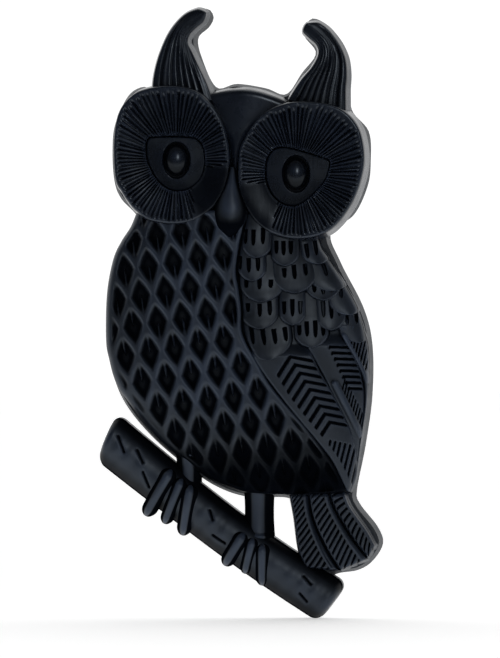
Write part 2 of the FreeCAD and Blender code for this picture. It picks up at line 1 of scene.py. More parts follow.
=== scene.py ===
import math
import bmesh
import bpy
import numpy as np
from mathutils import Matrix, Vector
from mathutils.geometry import tessellate_polygon


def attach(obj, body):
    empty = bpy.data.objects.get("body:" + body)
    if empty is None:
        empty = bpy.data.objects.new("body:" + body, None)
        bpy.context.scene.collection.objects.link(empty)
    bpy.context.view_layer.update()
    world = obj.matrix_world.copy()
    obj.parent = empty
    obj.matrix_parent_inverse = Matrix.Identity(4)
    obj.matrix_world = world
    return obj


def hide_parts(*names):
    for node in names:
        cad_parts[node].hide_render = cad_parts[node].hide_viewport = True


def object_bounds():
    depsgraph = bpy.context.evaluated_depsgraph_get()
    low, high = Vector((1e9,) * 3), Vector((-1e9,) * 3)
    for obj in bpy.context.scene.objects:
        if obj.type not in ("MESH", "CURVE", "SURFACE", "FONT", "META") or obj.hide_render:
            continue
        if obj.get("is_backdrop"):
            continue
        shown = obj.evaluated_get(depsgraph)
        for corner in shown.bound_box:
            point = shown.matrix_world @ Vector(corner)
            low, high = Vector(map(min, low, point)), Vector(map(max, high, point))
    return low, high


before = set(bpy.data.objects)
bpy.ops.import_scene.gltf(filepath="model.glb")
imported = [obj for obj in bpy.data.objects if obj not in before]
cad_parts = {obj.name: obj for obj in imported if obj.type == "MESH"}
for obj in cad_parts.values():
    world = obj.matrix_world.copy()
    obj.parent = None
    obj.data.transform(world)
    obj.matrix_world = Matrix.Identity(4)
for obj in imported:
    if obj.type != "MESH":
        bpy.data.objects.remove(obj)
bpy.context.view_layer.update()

# Shapes are worked out in millimetres: x to the right, z up and h forwards from the flat back.
# They become metres, with h along -Y, when the mesh is made. On a piece's grid, s runs across
# it and t along it, both from 0 to 1.
MM = 0.001

WALL_DRAFT = math.tan(math.radians(10.0))
STEEP_DRAFT = math.tan(math.radians(12.0))
DISC_DRAFT = math.tan(math.radians(7.0))
# Walls that face right flare more than walls that face left.
DRAFT_LEAN = 0.35
WALL_RINGS = 5
BOARD_T = 8.0
SHARP_ANGLE = math.radians(38.0)
CURVE_STEPS = 24
SEED = 7


# ---------------- curves and grids


def smooth_line(points, count, closed=False, crowd=0.0):
    """Points along a Catmull-Rom curve, evenly spaced by length. An open one can crowd at its ends."""
    p = np.array(points, float)
    if closed:
        p = np.vstack([p[-1], p, p[0], p[1]])
    else:
        p = np.vstack([2 * p[0] - p[1], p, 2 * p[-1] - p[-2]])
    t = np.linspace(0, 1, CURVE_STEPS, endpoint=False)[:, None]
    spans = []
    for a, b, c, d in zip(p, p[1:], p[2:], p[3:]):
        spans.append(0.5 * (2 * b + (c - a) * t + (2 * a - 5 * b + 4 * c - d) * t**2
                            + (3 * b - a - 3 * c + d) * t**3))
    line = np.vstack(spans + [p[-2][None]])
    length = np.concatenate([[0], np.cumsum(np.linalg.norm(np.diff(line, axis=0), axis=1))])
    share = np.linspace(0, 1, count, endpoint=False) if closed else crowded(count, crowd)
    wanted = share * length[-1]
    return np.column_stack([np.interp(wanted, length, line[:, k]) for k in range(2)])


def crowded(count, crowd):
    """Numbers from 0 to 1, closer together near both ends."""
    u = np.linspace(0, 1, count)
    return (1 - crowd) * u + crowd * (0.5 - 0.5 * np.cos(np.pi * u))


class Strip:
    """A grid stretched between a left and a right edge line, both running from root to tip."""

    def __init__(self, left, right, rows, cols, crowd):
        a = smooth_line(left, rows, crowd=crowd)
        b = smooth_line(right, rows, crowd=crowd)
        self.s = crowded(cols, crowd)[None, :] * np.ones((rows, 1))
        self.t = crowded(rows, crowd)[:, None] * np.ones((1, cols))
        self.x = a[:, :1] * (1 - self.s) + b[:, :1] * self.s
        self.z = a[:, 1:] * (1 - self.s) + b[:, 1:] * self.s
        middle = (a + b) / 2
        self.length = np.linalg.norm(np.diff(middle, axis=0), axis=1).sum()
        self.width = np.linalg.norm(b - a, axis=1)[:, None] * np.ones((1, cols))

    def round_tip(self, reach):
        """Narrows the last stretch to a half ellipse, so that the end is round."""
        near = np.clip(1 - (1 - self.t) * self.length / reach, 0, 0.999)
        shrink = np.sqrt(1 - near**2)
        for grid in (self.x, self.z):
            middle = (grid[:, :1] + grid[:, -1:]) / 2
            grid[:] = middle + (grid - middle) * shrink
        self.width = self.width * shrink
        return self

    def edge(self, sides=True, root=True, tip=True):
        """Distance to the nearest edge that is asked for."""
        far = np.full_like(self.x, self.length)
        if sides:
            far = np.minimum(far, np.minimum(self.s, 1 - self.s) * self.width)
        if root:
            far = np.minimum(far, self.t * self.length)
        if tip:
            far = np.minimum(far, (1 - self.t) * self.length)
        return far


def step(low, high, value):
    """0 below low, 1 above high, smooth between."""
    u = np.clip((value - low) / (high - low), 0, 1)
    return u * u * (3 - 2 * u)


def roll(distance, radius):
    """How far a rounded edge has dropped, a given distance in from that edge."""
    d = np.clip(distance, 0, radius)
    return radius - np.sqrt(np.maximum(radius**2 - (radius - d)**2, 0))


def groove(distance, half_width):
    """1 at the middle of a V cut, 0 from its edges outwards."""
    return np.clip(1 - np.abs(distance) / half_width, 0, 1)


# ---------------- meshes


def make_object(name, vertices, faces, material):
    """A smooth-shaded object, made from vertices in millimetres."""
    mesh = bpy.data.meshes.new(name)
    mesh.from_pydata((np.asarray(vertices) * MM).tolist(), [], faces)
    mesh.update()
    mesh.shade_smooth()
    mesh.set_sharp_from_angle(angle=SHARP_ANGLE)
    mesh.materials.append(material)
    thing = bpy.data.objects.new(name, mesh)
    bpy.context.scene.collection.objects.link(thing)
    return thing


def rim_indices(rows, cols):
    """The outer vertices of a grid, in order."""
    top = list(range(cols))
    right = [r * cols + cols - 1 for r in range(1, rows)]
    bottom = [(rows - 1) * cols + c for c in range(cols - 2, -1, -1)]
    left = [r * cols for r in range(rows - 2, 0, -1)]
    return np.array(top + right + bottom + left)


def outward_normals(loop):
    """Unit normals that point away from the inside of a closed 2D loop, smoothed over near points."""
    tangent = np.zeros_like(loop)
    for reach in (1, 2, 3):
        tangent += np.roll(loop, -reach, axis=0) - np.roll(loop, reach, axis=0)
    normal = np.column_stack([tangent[:, 1], -tangent[:, 0]])
    normal /= np.maximum(np.linalg.norm(normal, axis=1), 1e-9)[:, None]
    after = np.roll(loop, -1, axis=0)
    area = (loop[:, 0] * after[:, 1] - after[:, 0] * loop[:, 1]).sum()
    return normal if area > 0 else -normal


def join_rings(first, second):
    """Faces between two closed rings of vertices that run side by side."""
    beside = list(zip(first, second))
    return [(a, c, d, b) for (a, b), (c, d) in zip(beside, beside[1:] + beside[:1])]


def add_walls(points, faces, rim, base, draft):
    """Drafted side walls from a rim down to the base height, and a flat back."""
    loop = points[rim][:, [0, 2]]
    height = -points[rim][:, 1]
    normal = outward_normals(loop)
    count = len(rim)
    previous = list(rim)
    rings = [points]
    start = len(points)
    for ring in range(1, WALL_RINGS + 1):
        level = height + (base - height) * ring / WALL_RINGS
        spread = (height - level) * draft * (1 + DRAFT_LEAN * normal[:, 0])
        moved = loop + normal * spread[:, None]
        rings.append(np.column_stack([moved[:, 0], -level, moved[:, 1]]))
        now = list(range(start, start + count))
        faces += join_rings(previous, now)
        previous = now
        start += count
    faces.append(tuple(previous))
    return np.vstack(rings)


def facing_front(x, z):
    """True if the grid's rows and columns already give faces that look along -Y."""
    middle = x.shape[0] // 2
    ax, az = x[middle + 1, 1] - x[middle, 1], z[middle + 1, 1] - z[middle, 1]
    bx, bz = x[middle, -1] - x[middle, 0], z[middle, -1] - z[middle, 0]
    return ax * bz - az * bx > 0


# A place's tone is the painted light and shade. It is 0.5 where a place is level with what lies within this
# reach of it, and rises or falls by the gain for each millimetre above or below that.
TONE_REACH = 1.6
TONE_GAIN = 0.9
FINEST_PITCH = 0.05


def blurred(h, rows, cols, wrap=False):
    """A grid averaged over a window of the given half sizes."""
    for axis, half in ((0, rows), (1, cols)):
        half = max(1, int(half))
        mode = "wrap" if wrap and axis else "edge"
        pads = [(half + 1, half) if a == axis else (0, 0) for a in (0, 1)]
        total = np.cumsum(np.pad(h, pads, mode=mode), axis=axis)
        span = 2 * half + 1
        low = np.take(total, range(h.shape[axis]), axis=axis)
        high = np.take(total, range(span, span + h.shape[axis]), axis=axis)
        h = (high - low) / span
    return h


def tone_of(x, z, h, wrap=False):
    """1 on raised ridges, 0 in cuts and hollows, from each place's height over its surroundings."""
    along = np.median(np.hypot(np.diff(x, axis=0), np.diff(z, axis=0)))
    across = np.median(np.hypot(np.diff(x, axis=1), np.diff(z, axis=1)))
    around = blurred(h, TONE_REACH / max(along, FINEST_PITCH), TONE_REACH / max(across, FINEST_PITCH), wrap)
    return np.clip(0.5 + TONE_GAIN * (h - around), 0, 1)


def set_tone(thing, values=np.empty(0), wall_tone=0.5):
    """Stores the tone of the front, which comes first among the vertices, and one tone for the rest."""
    tone = np.full(len(thing.data.vertices), float(wall_tone))
    tone[:values.size] = values.ravel()
    thing.data.attributes.new("tone", "FLOAT", "POINT").data.foreach_set("value", tone)
    return thing


def grid_faces(first, second):
    """Faces between a grid's columns of vertices and the columns beside them."""
    corners = np.stack([first[:-1], first[1:], second[1:], second[:-1]], -1)
    return [tuple(face) for face in corners.reshape(-1, 4).tolist()]


def relief(name, x, z, h, material, base=BOARD_T, draft=WALL_DRAFT, painted_light_gain=1.0, wall_tone=0.5):
    """A carved piece: a front given on a grid, drafted walls and a flat back. The painted light gain scales
    its tone, the painted light and shade.
    """
    painted_light_gain = np.broadcast_to(painted_light_gain, x.shape)
    if not facing_front(x, z):
        x, z, h, painted_light_gain = x[:, ::-1], z[:, ::-1], h[:, ::-1], painted_light_gain[:, ::-1]
    rows, cols = x.shape
    points = np.column_stack([x.ravel(), -h.ravel(), z.ravel()])
    index = np.arange(rows * cols).reshape(rows, cols)
    faces = grid_faces(index[:, :-1], index[:, 1:])
    points = add_walls(points, faces, rim_indices(rows, cols), base, draft)
    return set_tone(make_object(name, points, faces, material), tone_of(x, z, h) * painted_light_gain, wall_tone)


def polar_relief(name, x, z, h, material, base=BOARD_T, draft=WALL_DRAFT, painted_light_gain=1.0):
    """The same on a polar grid: row 0 is the outer rim, and the last row closes at one point."""
    rows, cols = x.shape
    centre = np.array([[x[-1].mean(), -h[-1].mean(), z[-1].mean()]])
    points = np.vstack([np.column_stack([x.ravel(), -h.ravel(), z.ravel()]), centre])
    index = np.arange(rows * cols).reshape(rows, cols)
    beside = np.roll(index, -1, axis=1)
    faces = grid_faces(beside, index)
    faces += [(int(a), int(b), rows * cols) for a, b in zip(index[-1], beside[-1])]
    points = add_walls(points, faces, index[0][::-1], base, draft)
    thing = make_object(name, points, faces, material)
    return set_tone(thing, tone_of(x, z, h, wrap=True) * painted_light_gain)


# ---------------- materials

# The tones between which the lacquer goes from its hollow share of the lit colour (painted shade) to its most
# (painted highlight), and those between which its painted sheen comes up.
COLOUR_TONES = (0.2, 1.1)
COLOUR_MOST = 1.45
HOLLOW_SHARE = 0.12
SHEEN_TONES = (0.04, 0.45)
SHEEN_MOST = 0.5
SHEEN_TINT = (0.78, 0.89, 1.0, 1)
LACQUER_IOR = 1.5
# Noise values between which a mottle or a grain goes from its least to its most.
NOISE_SPAN = (0.3, 0.7)
MOTTLE = (0.7, 1.3)
ROUGHNESS_SPREAD = (-0.05, 0.06)
ALONG_GRAIN = (1, 1, 0.16)
BUMP_STRENGTH = 0.3
BUMP_DEPTH = 0.0003


def lacquer(name, lit_colour, roughness, hollow=HOLLOW_SHARE):
    """Dark lacquered wood with painted light and shade from the tone: painted paler and glossier where it
    stands proud, painted near black in its hollows.
    """
    material = bpy.data.materials.new(name)
    material.use_nodes = True
    nodes, links = material.node_tree.nodes, material.node_tree.links
    shader = nodes["Principled BSDF"]
    shader.inputs["IOR"].default_value = LACQUER_IOR
    shader.inputs["Specular Tint"].default_value = SHEEN_TINT
    place = nodes.new("ShaderNodeTexCoord")

    def noise(scale, detail, stretch=(1, 1, 1)):
        mapping = nodes.new("ShaderNodeMapping")
        mapping.inputs["Scale"].default_value = stretch
        links.new(place.outputs["Object"], mapping.inputs["Vector"])
        texture = nodes.new("ShaderNodeTexNoise")
        texture.inputs["Scale"].default_value = scale
        texture.inputs["Detail"].default_value = detail
        links.new(mapping.outputs["Vector"], texture.inputs["Vector"])
        return texture.outputs["Fac"]

    def remap(source, span, result):
        node = nodes.new("ShaderNodeMapRange")
        for key, value in zip(("From Min", "From Max", "To Min", "To Max"), (*span, *result)):
            node.inputs[key].default_value = value
        links.new(source, node.inputs["Value"])
        return node.outputs["Result"]

    def combine(operation, first, second):
        node = nodes.new("ShaderNodeMath")
        node.operation = operation
        links.new(first, node.inputs[0])
        links.new(second, node.inputs[1])
        return node.outputs[0]

    tone = nodes.new("ShaderNodeAttribute")
    tone.attribute_name = "tone"
    # Painted light and shade: the tone paints proud places paler and hollows near black.
    proud = remap(tone.outputs["Fac"], COLOUR_TONES, (hollow, COLOUR_MOST))
    # Real random mottle on top of the painted light and shade.
    mottle_and_painted_light = combine("MULTIPLY", proud, remap(noise(scale=60, detail=4), NOISE_SPAN, MOTTLE))
    mix = nodes.new("ShaderNodeMix")
    mix.data_type = "RGBA"
    mix.clamp_factor = False
    links.new(mottle_and_painted_light, mix.inputs["Factor"])
    mix.inputs["A"].default_value = (0, 0, 0, 1)
    mix.inputs["B"].default_value = (*lit_colour, 1)
    links.new(mix.outputs["Result"], shader.inputs["Base Color"])
    rough = remap(noise(scale=150, detail=3), NOISE_SPAN, [roughness + change for change in ROUGHNESS_SPREAD])
    links.new(rough, shader.inputs["Roughness"])
    # Painted sheen: the specular strength follows the same tone, strongest on proud places and gone in
    # painted shade.
    painted_sheen = remap(tone.outputs["Fac"], SHEEN_TONES, (0.0, SHEEN_MOST))
    links.new(painted_sheen, shader.inputs["Specular IOR Level"])
    grain = combine("ADD", noise(scale=260, detail=3, stretch=ALONG_GRAIN), noise(scale=70, detail=2))
    bump = nodes.new("ShaderNodeBump")
    bump.inputs["Strength"].default_value = BUMP_STRENGTH
    bump.inputs["Distance"].default_value = BUMP_DEPTH
    links.new(grain, bump.inputs["Height"])
    links.new(bump.outputs["Normal"], shader.inputs["Normal"])
    return material


BLUE_BLACK = (0.0155, 0.022, 0.037)
HEAD_BLUE_BLACK = (0.011, 0.0155, 0.027)
EYE_BLUE_BLACK = (0.010, 0.0145, 0.026)
BACK_GREY = (0.020, 0.021, 0.024)
PALE_BROWN = (0.42, 0.30, 0.18)

wood = lacquer("carved_wood", BLUE_BLACK, roughness=0.42)
head_wood = lacquer("head_wood", HEAD_BLUE_BLACK, roughness=0.27, hollow=0.3)
smooth_wood = lacquer("smooth_wood", EYE_BLUE_BLACK, roughness=0.26)
back_wood = lacquer("board_wood", BACK_GREY, roughness=0.55, hollow=1.0)
bare_wood = lacquer("dowel_wood", PALE_BROWN, roughness=0.6, hollow=1.0)


def settle(thing, node):
    """Puts a finished piece on the one body and lets it stand for its CAD node."""
    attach(thing, "root")
    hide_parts(node)


# ---------------- body shape

BODY_LEFT = [(-42.2, 40), (-44.8, 33.6), (-48.4, 28), (-51.4, 22), (-53.4, 14), (-54.5, 6), (-54.9, -4),
             (-54.7, -14), (-53.5, -20), (-52, -26), (-49.8, -31.4), (-47.2, -35.1), (-44.2, -39.1),
             (-40, -44.4), (-36, -49), (-32, -53.4), (-28, -57), (-24, -60), (-15, -66.6), (-10.6, -69),
             (-4.6, -71.4), (1.4, -73.2), (12.2, -73.8), (19.8, -73.8)]
BODY_RIGHT = [(29, 42), (31.2, 28.6), (33.4, 23.6), (38.0, 16.4), (43.2, 8), (47.2, 0), (50.2, -12),
              (51.0, -24), (50.4, -36), (48.3, -50), (46.3, -60), (44.7, -68), (42.8, -73.4)]
WING_INNER = [(2.4, 40), (-0.6, 26), (-1.6, 19.2), (-1.8, 14), (-0.8, 8), (0.2, 0), (0.4, -8), (2.6, -14),
              (6.2, -20), (9.4, -26), (13.4, -32), (19.4, -39.2), (25.4, -46), (30.6, -52.8), (35.4, -59.2),
              (39.4, -66), (42.4, -73)]
BODY_EDGE = 11.0
BODY_TOP = 20.0
# The swell is flatter than a half circle across, and lower towards the legs and the chin.
SWELL_POWER = 0.62
SWELL_LOSS_LOW = 0.35
SWELL_LOSS_HIGH = 0.12

left_line = smooth_line(BODY_LEFT, 400)[::-1]
right_line = smooth_line(BODY_RIGHT, 400)[::-1]


def body_height(x, z):
    """The swelling front that breast and wing share, before any carving."""
    low = np.interp(z, left_line[:, 1], left_line[:, 0])
    high = np.interp(z, right_line[:, 1], right_line[:, 0])
    share = np.clip((x - low) / np.maximum(high - low, 1), 0.0, 1.0)
    across = np.clip(4 * share * (1 - share), 0, 1) ** SWELL_POWER
    along = 1 - SWELL_LOSS_LOW * step(32, 87, -z) - SWELL_LOSS_HIGH * step(20, 60, z)
    return BODY_EDGE + (BODY_TOP - BODY_EDGE) * across * along


# ---------------- breast lattice

# One pit's middle, the way to the next pit in its row, and the way to the pit below and to the left.
CELL_START = np.array([-17.0, 20.8])
CELL_ACROSS = np.array([10.0, 1.6])
CELL_DOWN = np.array([-3.2, -12.0])
PIT_HALF_WIDE = 4.7
PIT_HALF_TALL = 8.2
PIT_POWER = 1.3
PIT_FLOOR = 0.42
PIT_DEPTH = 2.5
# Each pit's spine starts just short of its middle, widens towards one end of the pit and fills
# this share of the depth. Above the height where spines turn it runs down, below it up.
SPINE_HALF = 0.8
SPINE_START = 0.4
SPINE_TAPER = 4.0
SPINE_SHARE = 0.7
SPINES_TURN = -6
PIT_SHADE = 0.72


def lattice_depth(x, z):
    """How deep the diamond pits go at each place, with the small spine that runs into each."""
    basis = np.column_stack([CELL_DOWN, CELL_DOWN + CELL_ACROSS])
    inverse = np.linalg.inv(basis)
    dx, dz = x - CELL_START[0], z - CELL_START[1]
    cells = [row[0] * dx + row[1] * dz for row in inverse]
    past = [cell - np.round(cell) for cell in cells]
    off_x, off_z = [row[0] * past[0] + row[1] * past[1] for row in basis]
    long_axis = basis.sum(axis=1) / np.linalg.norm(basis.sum(axis=1))
    along = off_x * long_axis[0] + off_z * long_axis[1]
    across = off_x * -long_axis[1] + off_z * long_axis[0]
    from_middle = np.abs(across / PIT_HALF_WIDE) ** PIT_POWER + np.abs(along / PIT_HALF_TALL) ** PIT_POWER
    from_middle = from_middle ** (1 / PIT_POWER)
    pit = PIT_DEPTH * (1 - step(PIT_FLOOR, 1.0, from_middle))
    down_spine = np.where(z - off_z > SPINES_TURN, 1.0, -1.0) * along
    spine_half = SPINE_HALF * np.clip((down_spine + SPINE_START) / SPINE_TAPER, 0, 1)
    spine = np.clip(1 - np.abs(across) / np.maximum(spine_half, 0.01), 0, 1) * (spine_half > 0.02)
    return pit * (1 - SPINE_SHARE * spine)


def breast():
    """The front with its lattice of pits. Painted shade darkens its foot, its left side and its pits, and the
    painted light is strongest towards the right.
    """
    strip = Strip(BODY_LEFT, WING_INNER, rows=380, cols=236, crowd=0.2)
    x, z = strip.x, strip.z
    from_left = strip.s * strip.width
    from_right = (1 - strip.s) * strip.width
    from_ends = strip.edge(sides=False)
    carved = step(2.0, 5.0, from_left) * step(1.2, 2.6, from_right) * step(0.8, 3.0, from_ends)
    pits = lattice_depth(x, z) * carved
    h = body_height(x, z) - pits
    h -= roll(from_left, 2.2) + roll(from_right, 1.2) + roll(from_ends, 2.0)
    # Painted shade at the foot and down the left side, and in the pits; painted light towards the right.
    painted_light_across = 0.7 + 0.8 * step(-54, -16, x)
    painted_light_up = 0.05 + 0.95 * step(-68, -26, z)
    painted_light_gain = painted_light_across * painted_light_up * (1 - PIT_SHADE * pits / PIT_DEPTH)
    settle(relief("visual_breast", x, z, h, wood, painted_light_gain=painted_light_gain), "breast")


# ---------------- wing

# Coverts: name, root, tip, width, lift over the body, and the cuts as
# (place across the width, start and end along the length).
COVERTS = [
    ("covert_c4", (44.4, 6), (47.4, -13), 15, 0.2,
     [(0.5, 0.3, 0.6), (0.75, 0.3, 0.6)]),
    ("covert_a5", (9.0, -3), (11.6, -20), 21.0, 0.7,
     [(0.13, 0.3, 0.62), (0.34, 0.3, 0.65), (0.55, 0.24, 0.64), (0.76, 0.12, 0.58)]),
    ("covert_b6", (27.6, 3), (28.4, -15), 14.0, 0.5,
     [(0.16, 0.45, 0.75), (0.38, 0.4, 0.78), (0.62, 0.42, 0.75), (0.84, 0.5, 0.72)]),
    ("covert_b5", (35.0, 10), (36.4, -8), 12.0, 0.6,
     [(0.22, 0.35, 0.7), (0.48, 0.35, 0.75), (0.74, 0.35, 0.7)]),
    ("covert_a4", (7.2, 8), (8.0, -7.6), 15.5, 0.9,
     [(0.24, 0.3, 0.66), (0.5, 0.35, 0.68), (0.8, 0.33, 0.55)]),
    ("covert_b4", (20.4, 11), (20.8, -6), 11.0, 0.6,
     [(0.22, 0.45, 0.75), (0.5, 0.4, 0.8), (0.8, 0.45, 0.75)]),
    ("covert_a3", (8.4, 18), (8.4, 3.2), 18.0, 1.1,
     [(0.3, 0.4, 0.62), (0.55, 0.3, 0.66), (0.84, 0.4, 0.62)]),
    ("covert_b3", (32.5, 15), (33.4, 4), 15.0, 0.7,
     [(0.3, 0.35, 0.75), (0.52, 0.35, 0.8), (0.75, 0.35, 0.7)]),
    ("covert_c3", (40.6, 16), (43.6, -2), 16, 0.4,
     [(0.35, 0.3, 0.6), (0.65, 0.3, 0.6)]),
    ("covert_b2", (20.4, 24), (22.2, 6.8), 18.0, 1.0,
     [(0.25, 0.35, 0.62), (0.5, 0.35, 0.68), (0.72, 0.4, 0.62)]),
    ("covert_c2", (33.0, 24), (38.6, 8), 19, 0.6,
     [(0.35, 0.3, 0.6), (0.62, 0.3, 0.6)]),
    ("covert_a2", (4.4, 27), (4.8, 11.6), 11.5, 1.3,
     [(0.3, 0.42, 0.75), (0.62, 0.4, 0.78), (0.92, 0.35, 0.7)]),
    ("covert_c1", (29.0, 33), (31.4, 18.4), 14.0, 0.8,
     [(0.3, 0.3, 0.7), (0.55, 0.35, 0.75), (0.8, 0.4, 0.8)]),
    ("covert_b1", (17.4, 34), (17.8, 17.6), 11.5, 1.2,
     [(0.3, 0.4, 0.72), (0.55, 0.4, 0.74), (0.8, 0.38, 0.7)]),
    ("covert_a1", (6.6, 37), (6.4, 20.8), 12.0, 1.5,
     [(0.3, 0.25, 0.66), (0.62, 0.3, 0.7), (0.88, 0.3, 0.66)]),
]


# A feather's round tip: how far it reaches as a share of the half width, the angles that shape
# it, and the half width that is left at its very end.
TIP_REACH = 0.85
TIP_ANGLES = (25, 50, 72)
TIP_END = 0.06


def tongue_edges(root, tip, width):
    """Left and right edge lines of a round-tipped feather."""
    root, tip = np.array(root, float), np.array(tip, float)
    along = tip - root
    length = np.linalg.norm(along)
    along /= length
    side = np.array([along[1], -along[0]])
    half = width / 2
    reach = half * TIP_REACH
    shoulder = length - reach
    sides = []
    for outwards in (-side * half, side * half):
        line = [root + outwards + along * d for d in (0, shoulder / 2, shoulder)]
        for angle in np.radians(TIP_ANGLES):
            line.append(root + along * (shoulder + reach * math.sin(angle)) + outwards * math.cos(angle))
        line.append(tip + outwards * TIP_END)
        sides.append(line)
    return sides


EDGE_GAP = 0.5
# Each covert starts this far under the one above it, and sinks there.
ROOT_TUCK = 4.0
ROOT_SINK = 2.8
COVERT_RISE = 0.9
COVERT_CROWN = 0.7
COVERT_ROLL = 1.5
CUT_HALF = 0.9
CUT_DEPTH = 1.6


def kept_inside(line):
    """An edge line moved so that it stays between the breast and the body's right edge."""
    inner = smooth_line(WING_INNER, 200)[::-1]
    kept = []
    for x, z in line:
        low = np.interp(z, inner[:, 1], inner[:, 0]) + EDGE_GAP
        high = np.interp(z, right_line[:, 1], right_line[:, 0]) - EDGE_GAP
        kept.append((min(max(x, low), high), z))
    return kept


def covert(name, root, tip, width, lift, cuts):
    """A short overlapping feather with a few tapering cuts hanging from the feather above."""
    root, tip = np.array(root, float), np.array(tip, float)
    span = np.linalg.norm(tip - root)
    along = (tip - root) / span
    left, right = tongue_edges(root - along * ROOT_TUCK, tip, width)
    strip = Strip(kept_inside(left), kept_inside(right), rows=130, cols=100, crowd=0.3)
    x, z = strip.x, strip.z
    h = body_height(x, z) + COVERT_RISE + lift * (0.2 + 0.8 * strip.t) - ROOT_SINK * (1 - strip.t)
    down = (x - root[0]) * along[0] + (z - root[1]) * along[1]
    across = (x - root[0]) * along[1] - (z - root[1]) * along[0]
    for place, start, end in cuts:
        reach = np.clip((down / span - start) / (end - start), 0, 1)
        half = CUT_HALF * np.sqrt(1 - reach**4) + 0.01
        inside = groove(across + (place - 0.5) * -width, half) * (down / span > start)
        h -= CUT_DEPTH * inside**0.6 * (reach < 1)
    h -= COVERT_CROWN * (2 * strip.s - 1) ** 2 + roll(strip.edge(root=False), COVERT_ROLL)
    # Painted light: each covert is painted darker at its root and lighter towards its tip.
    painted_light_gain = 0.62 + 0.4 * step(0.5, 0.95, strip.t)
    settle(relief(f"visual_{name}", x, z, h, wood, painted_light_gain=painted_light_gain), name)


# Left and right edges of the long feathers. Their upper ends lie under the coverts.
PRIMARY_LINES = {
    "primary_3": ([(37, 0), (40, -10), (44.8, -18.6), (48.4, -27), (49.2, -36), (48.0, -47), (46.0, -60)],
                  [(44.6, 0), (49.2, -9), (50.8, -16), (51.0, -26), (50.4, -38), (48.8, -48), (46.8, -61)]),
    "primary_2": ([(22, -4), (26, -14), (32.6, -26), (36.2, -34), (42.0, -46), (44.6, -55), (45.0, -63)],
                  [(41.0, -4), (45.6, -16), (48.8, -30), (49.4, -38), (48.4, -50), (46.4, -64)]),
    "primary_1": ([(0.6, -8), (4.6, -18), (9.4, -26), (19.4, -39.2), (30.6, -52.8), (36.6, -61),
                   (42.0, -72.6)],
                  [(24, -6), (30.4, -22), (36.6, -33), (43.0, -46), (46.0, -56), (46, -66), (43.6, -73)]),
}
# Chevron cuts: start and end of the line through their points, then slant and reach to the left
# and to the right of it, and the pitch.
COMBS = {
    "primary_1": [((18.8, -17.0), (36.4, -46.4), (0.5, 8.6), (0.89, 7.4), 3.8),
                  ((33.0, -59.0), (47.0, -62.4), (0, 12), (0, 8), 2.0)],
    "primary_2": [((35.0, -13.5), (43.8, -33.0), (0.5, 1.0), (0.5, 7.0), 2.6),
                  ((40.0, -31.0), (49.0, -49.0), (0, 0), (-1.2, 3.4), 1.9)],
    "primary_3": [((41.6, -9.0), (50.0, -25.0), (0, 0), (-1.2, 7), 2.0)],
}
# A comb's cuts take this share of their pitch, up to a widest cut. Cuts at the full pitch or
# more are the deepest.
CUT_SHARE = 0.27
WIDEST_CUT = 0.95
FULL_PITCH = 2.6
COMB_DEPTH = 1.3
# Raised shafts, from upper to lower end.
SHAFTS = {
    "primary_1": [],
    "primary_2": [((37.6, -29.5), (48.0, -50))],
    "primary_3": [((41.0, -10.6), (50.6, -28))],
}
SHAFT_HALF = 1.7
SHAFT_RISE = 1.0
# How far the long feathers' hidden upper ends sink, and over what length.
SINK = 3.2
SINK_LENGTH = 6.0


def segment_distance(x, z, start, end):
    """Distance from each place to a straight stroke."""
    (ax, az), (bx, bz) = start, end
    dx, dz = bx - ax, bz - az
    u = np.clip(((x - ax) * dx + (z - az) * dz) / (dx * dx + dz * dz), 0, 1)
    return np.hypot(x - ax - u * dx, z - az - u * dz)


def comb(x, z, start, end, left, right, pitch):
    """How deep each place is cut by a row of chevrons."""
    start, end = np.array(start), np.array(end)
    length = np.linalg.norm(end - start)
    way = (end - start) / length
    along = (x - start[0]) * way[0] + (z - start[1]) * way[1]
    off = (z - start[1]) * way[0] - (x - start[0]) * way[1]
    slant = np.where(off < 0, left[0], right[0])
    reach = np.where(off < 0, left[1], right[1])
    phase = along - slant * np.abs(off)
    cut = groove((np.mod(phase / pitch, 1) - 0.5) * pitch, min(CUT_SHARE * pitch, WIDEST_CUT)) ** 0.7
    beside = step(0, 0.8, reach - np.abs(off))
    between_ends = step(-0.3, 0.5, phase) * (1 - step(length - 0.5, length, phase))
    return COMB_DEPTH * min(1, pitch / FULL_PITCH) * cut * beside * between_ends


def primary(name, lift, margin, sink_from):
    """A long feather with chevron cuts, shafts and a plain left margin. It sinks above a height."""
    left, right = PRIMARY_LINES[name]
    strip = Strip(left, right, rows=330, cols=110, crowd=0.2)
    x, z = strip.x, strip.z
    h = body_height(x, z) + lift + 0.8 * np.sin(np.pi * strip.s)
    h -= SINK * step(sink_from, sink_from + SINK_LENGTH, z)
    from_margin = strip.s * strip.width - margin
    from_right = (1 - strip.s) * strip.width
    carved = step(0, 0.8, from_margin) * step(0.4, 1.2, from_right)
    for spec in COMBS[name]:
        h -= comb(x, z, *spec) * carved
    # Painted light: a little weaker over the feather, with a painted highlight along the raised shafts.
    painted_light_gain = np.full_like(x, 0.9)
    for low, high in SHAFTS[name]:
        ridge = np.clip(1 - (segment_distance(x, z, low, high) / SHAFT_HALF) ** 2, 0, 1)
        h += SHAFT_RISE * ridge
        painted_light_gain += 0.4 * ridge
    h -= roll(strip.edge(root=False), 1.1)
    settle(relief(f"visual_{name}", x, z, h, wood, painted_light_gain=painted_light_gain), name)


# ---------------- tail

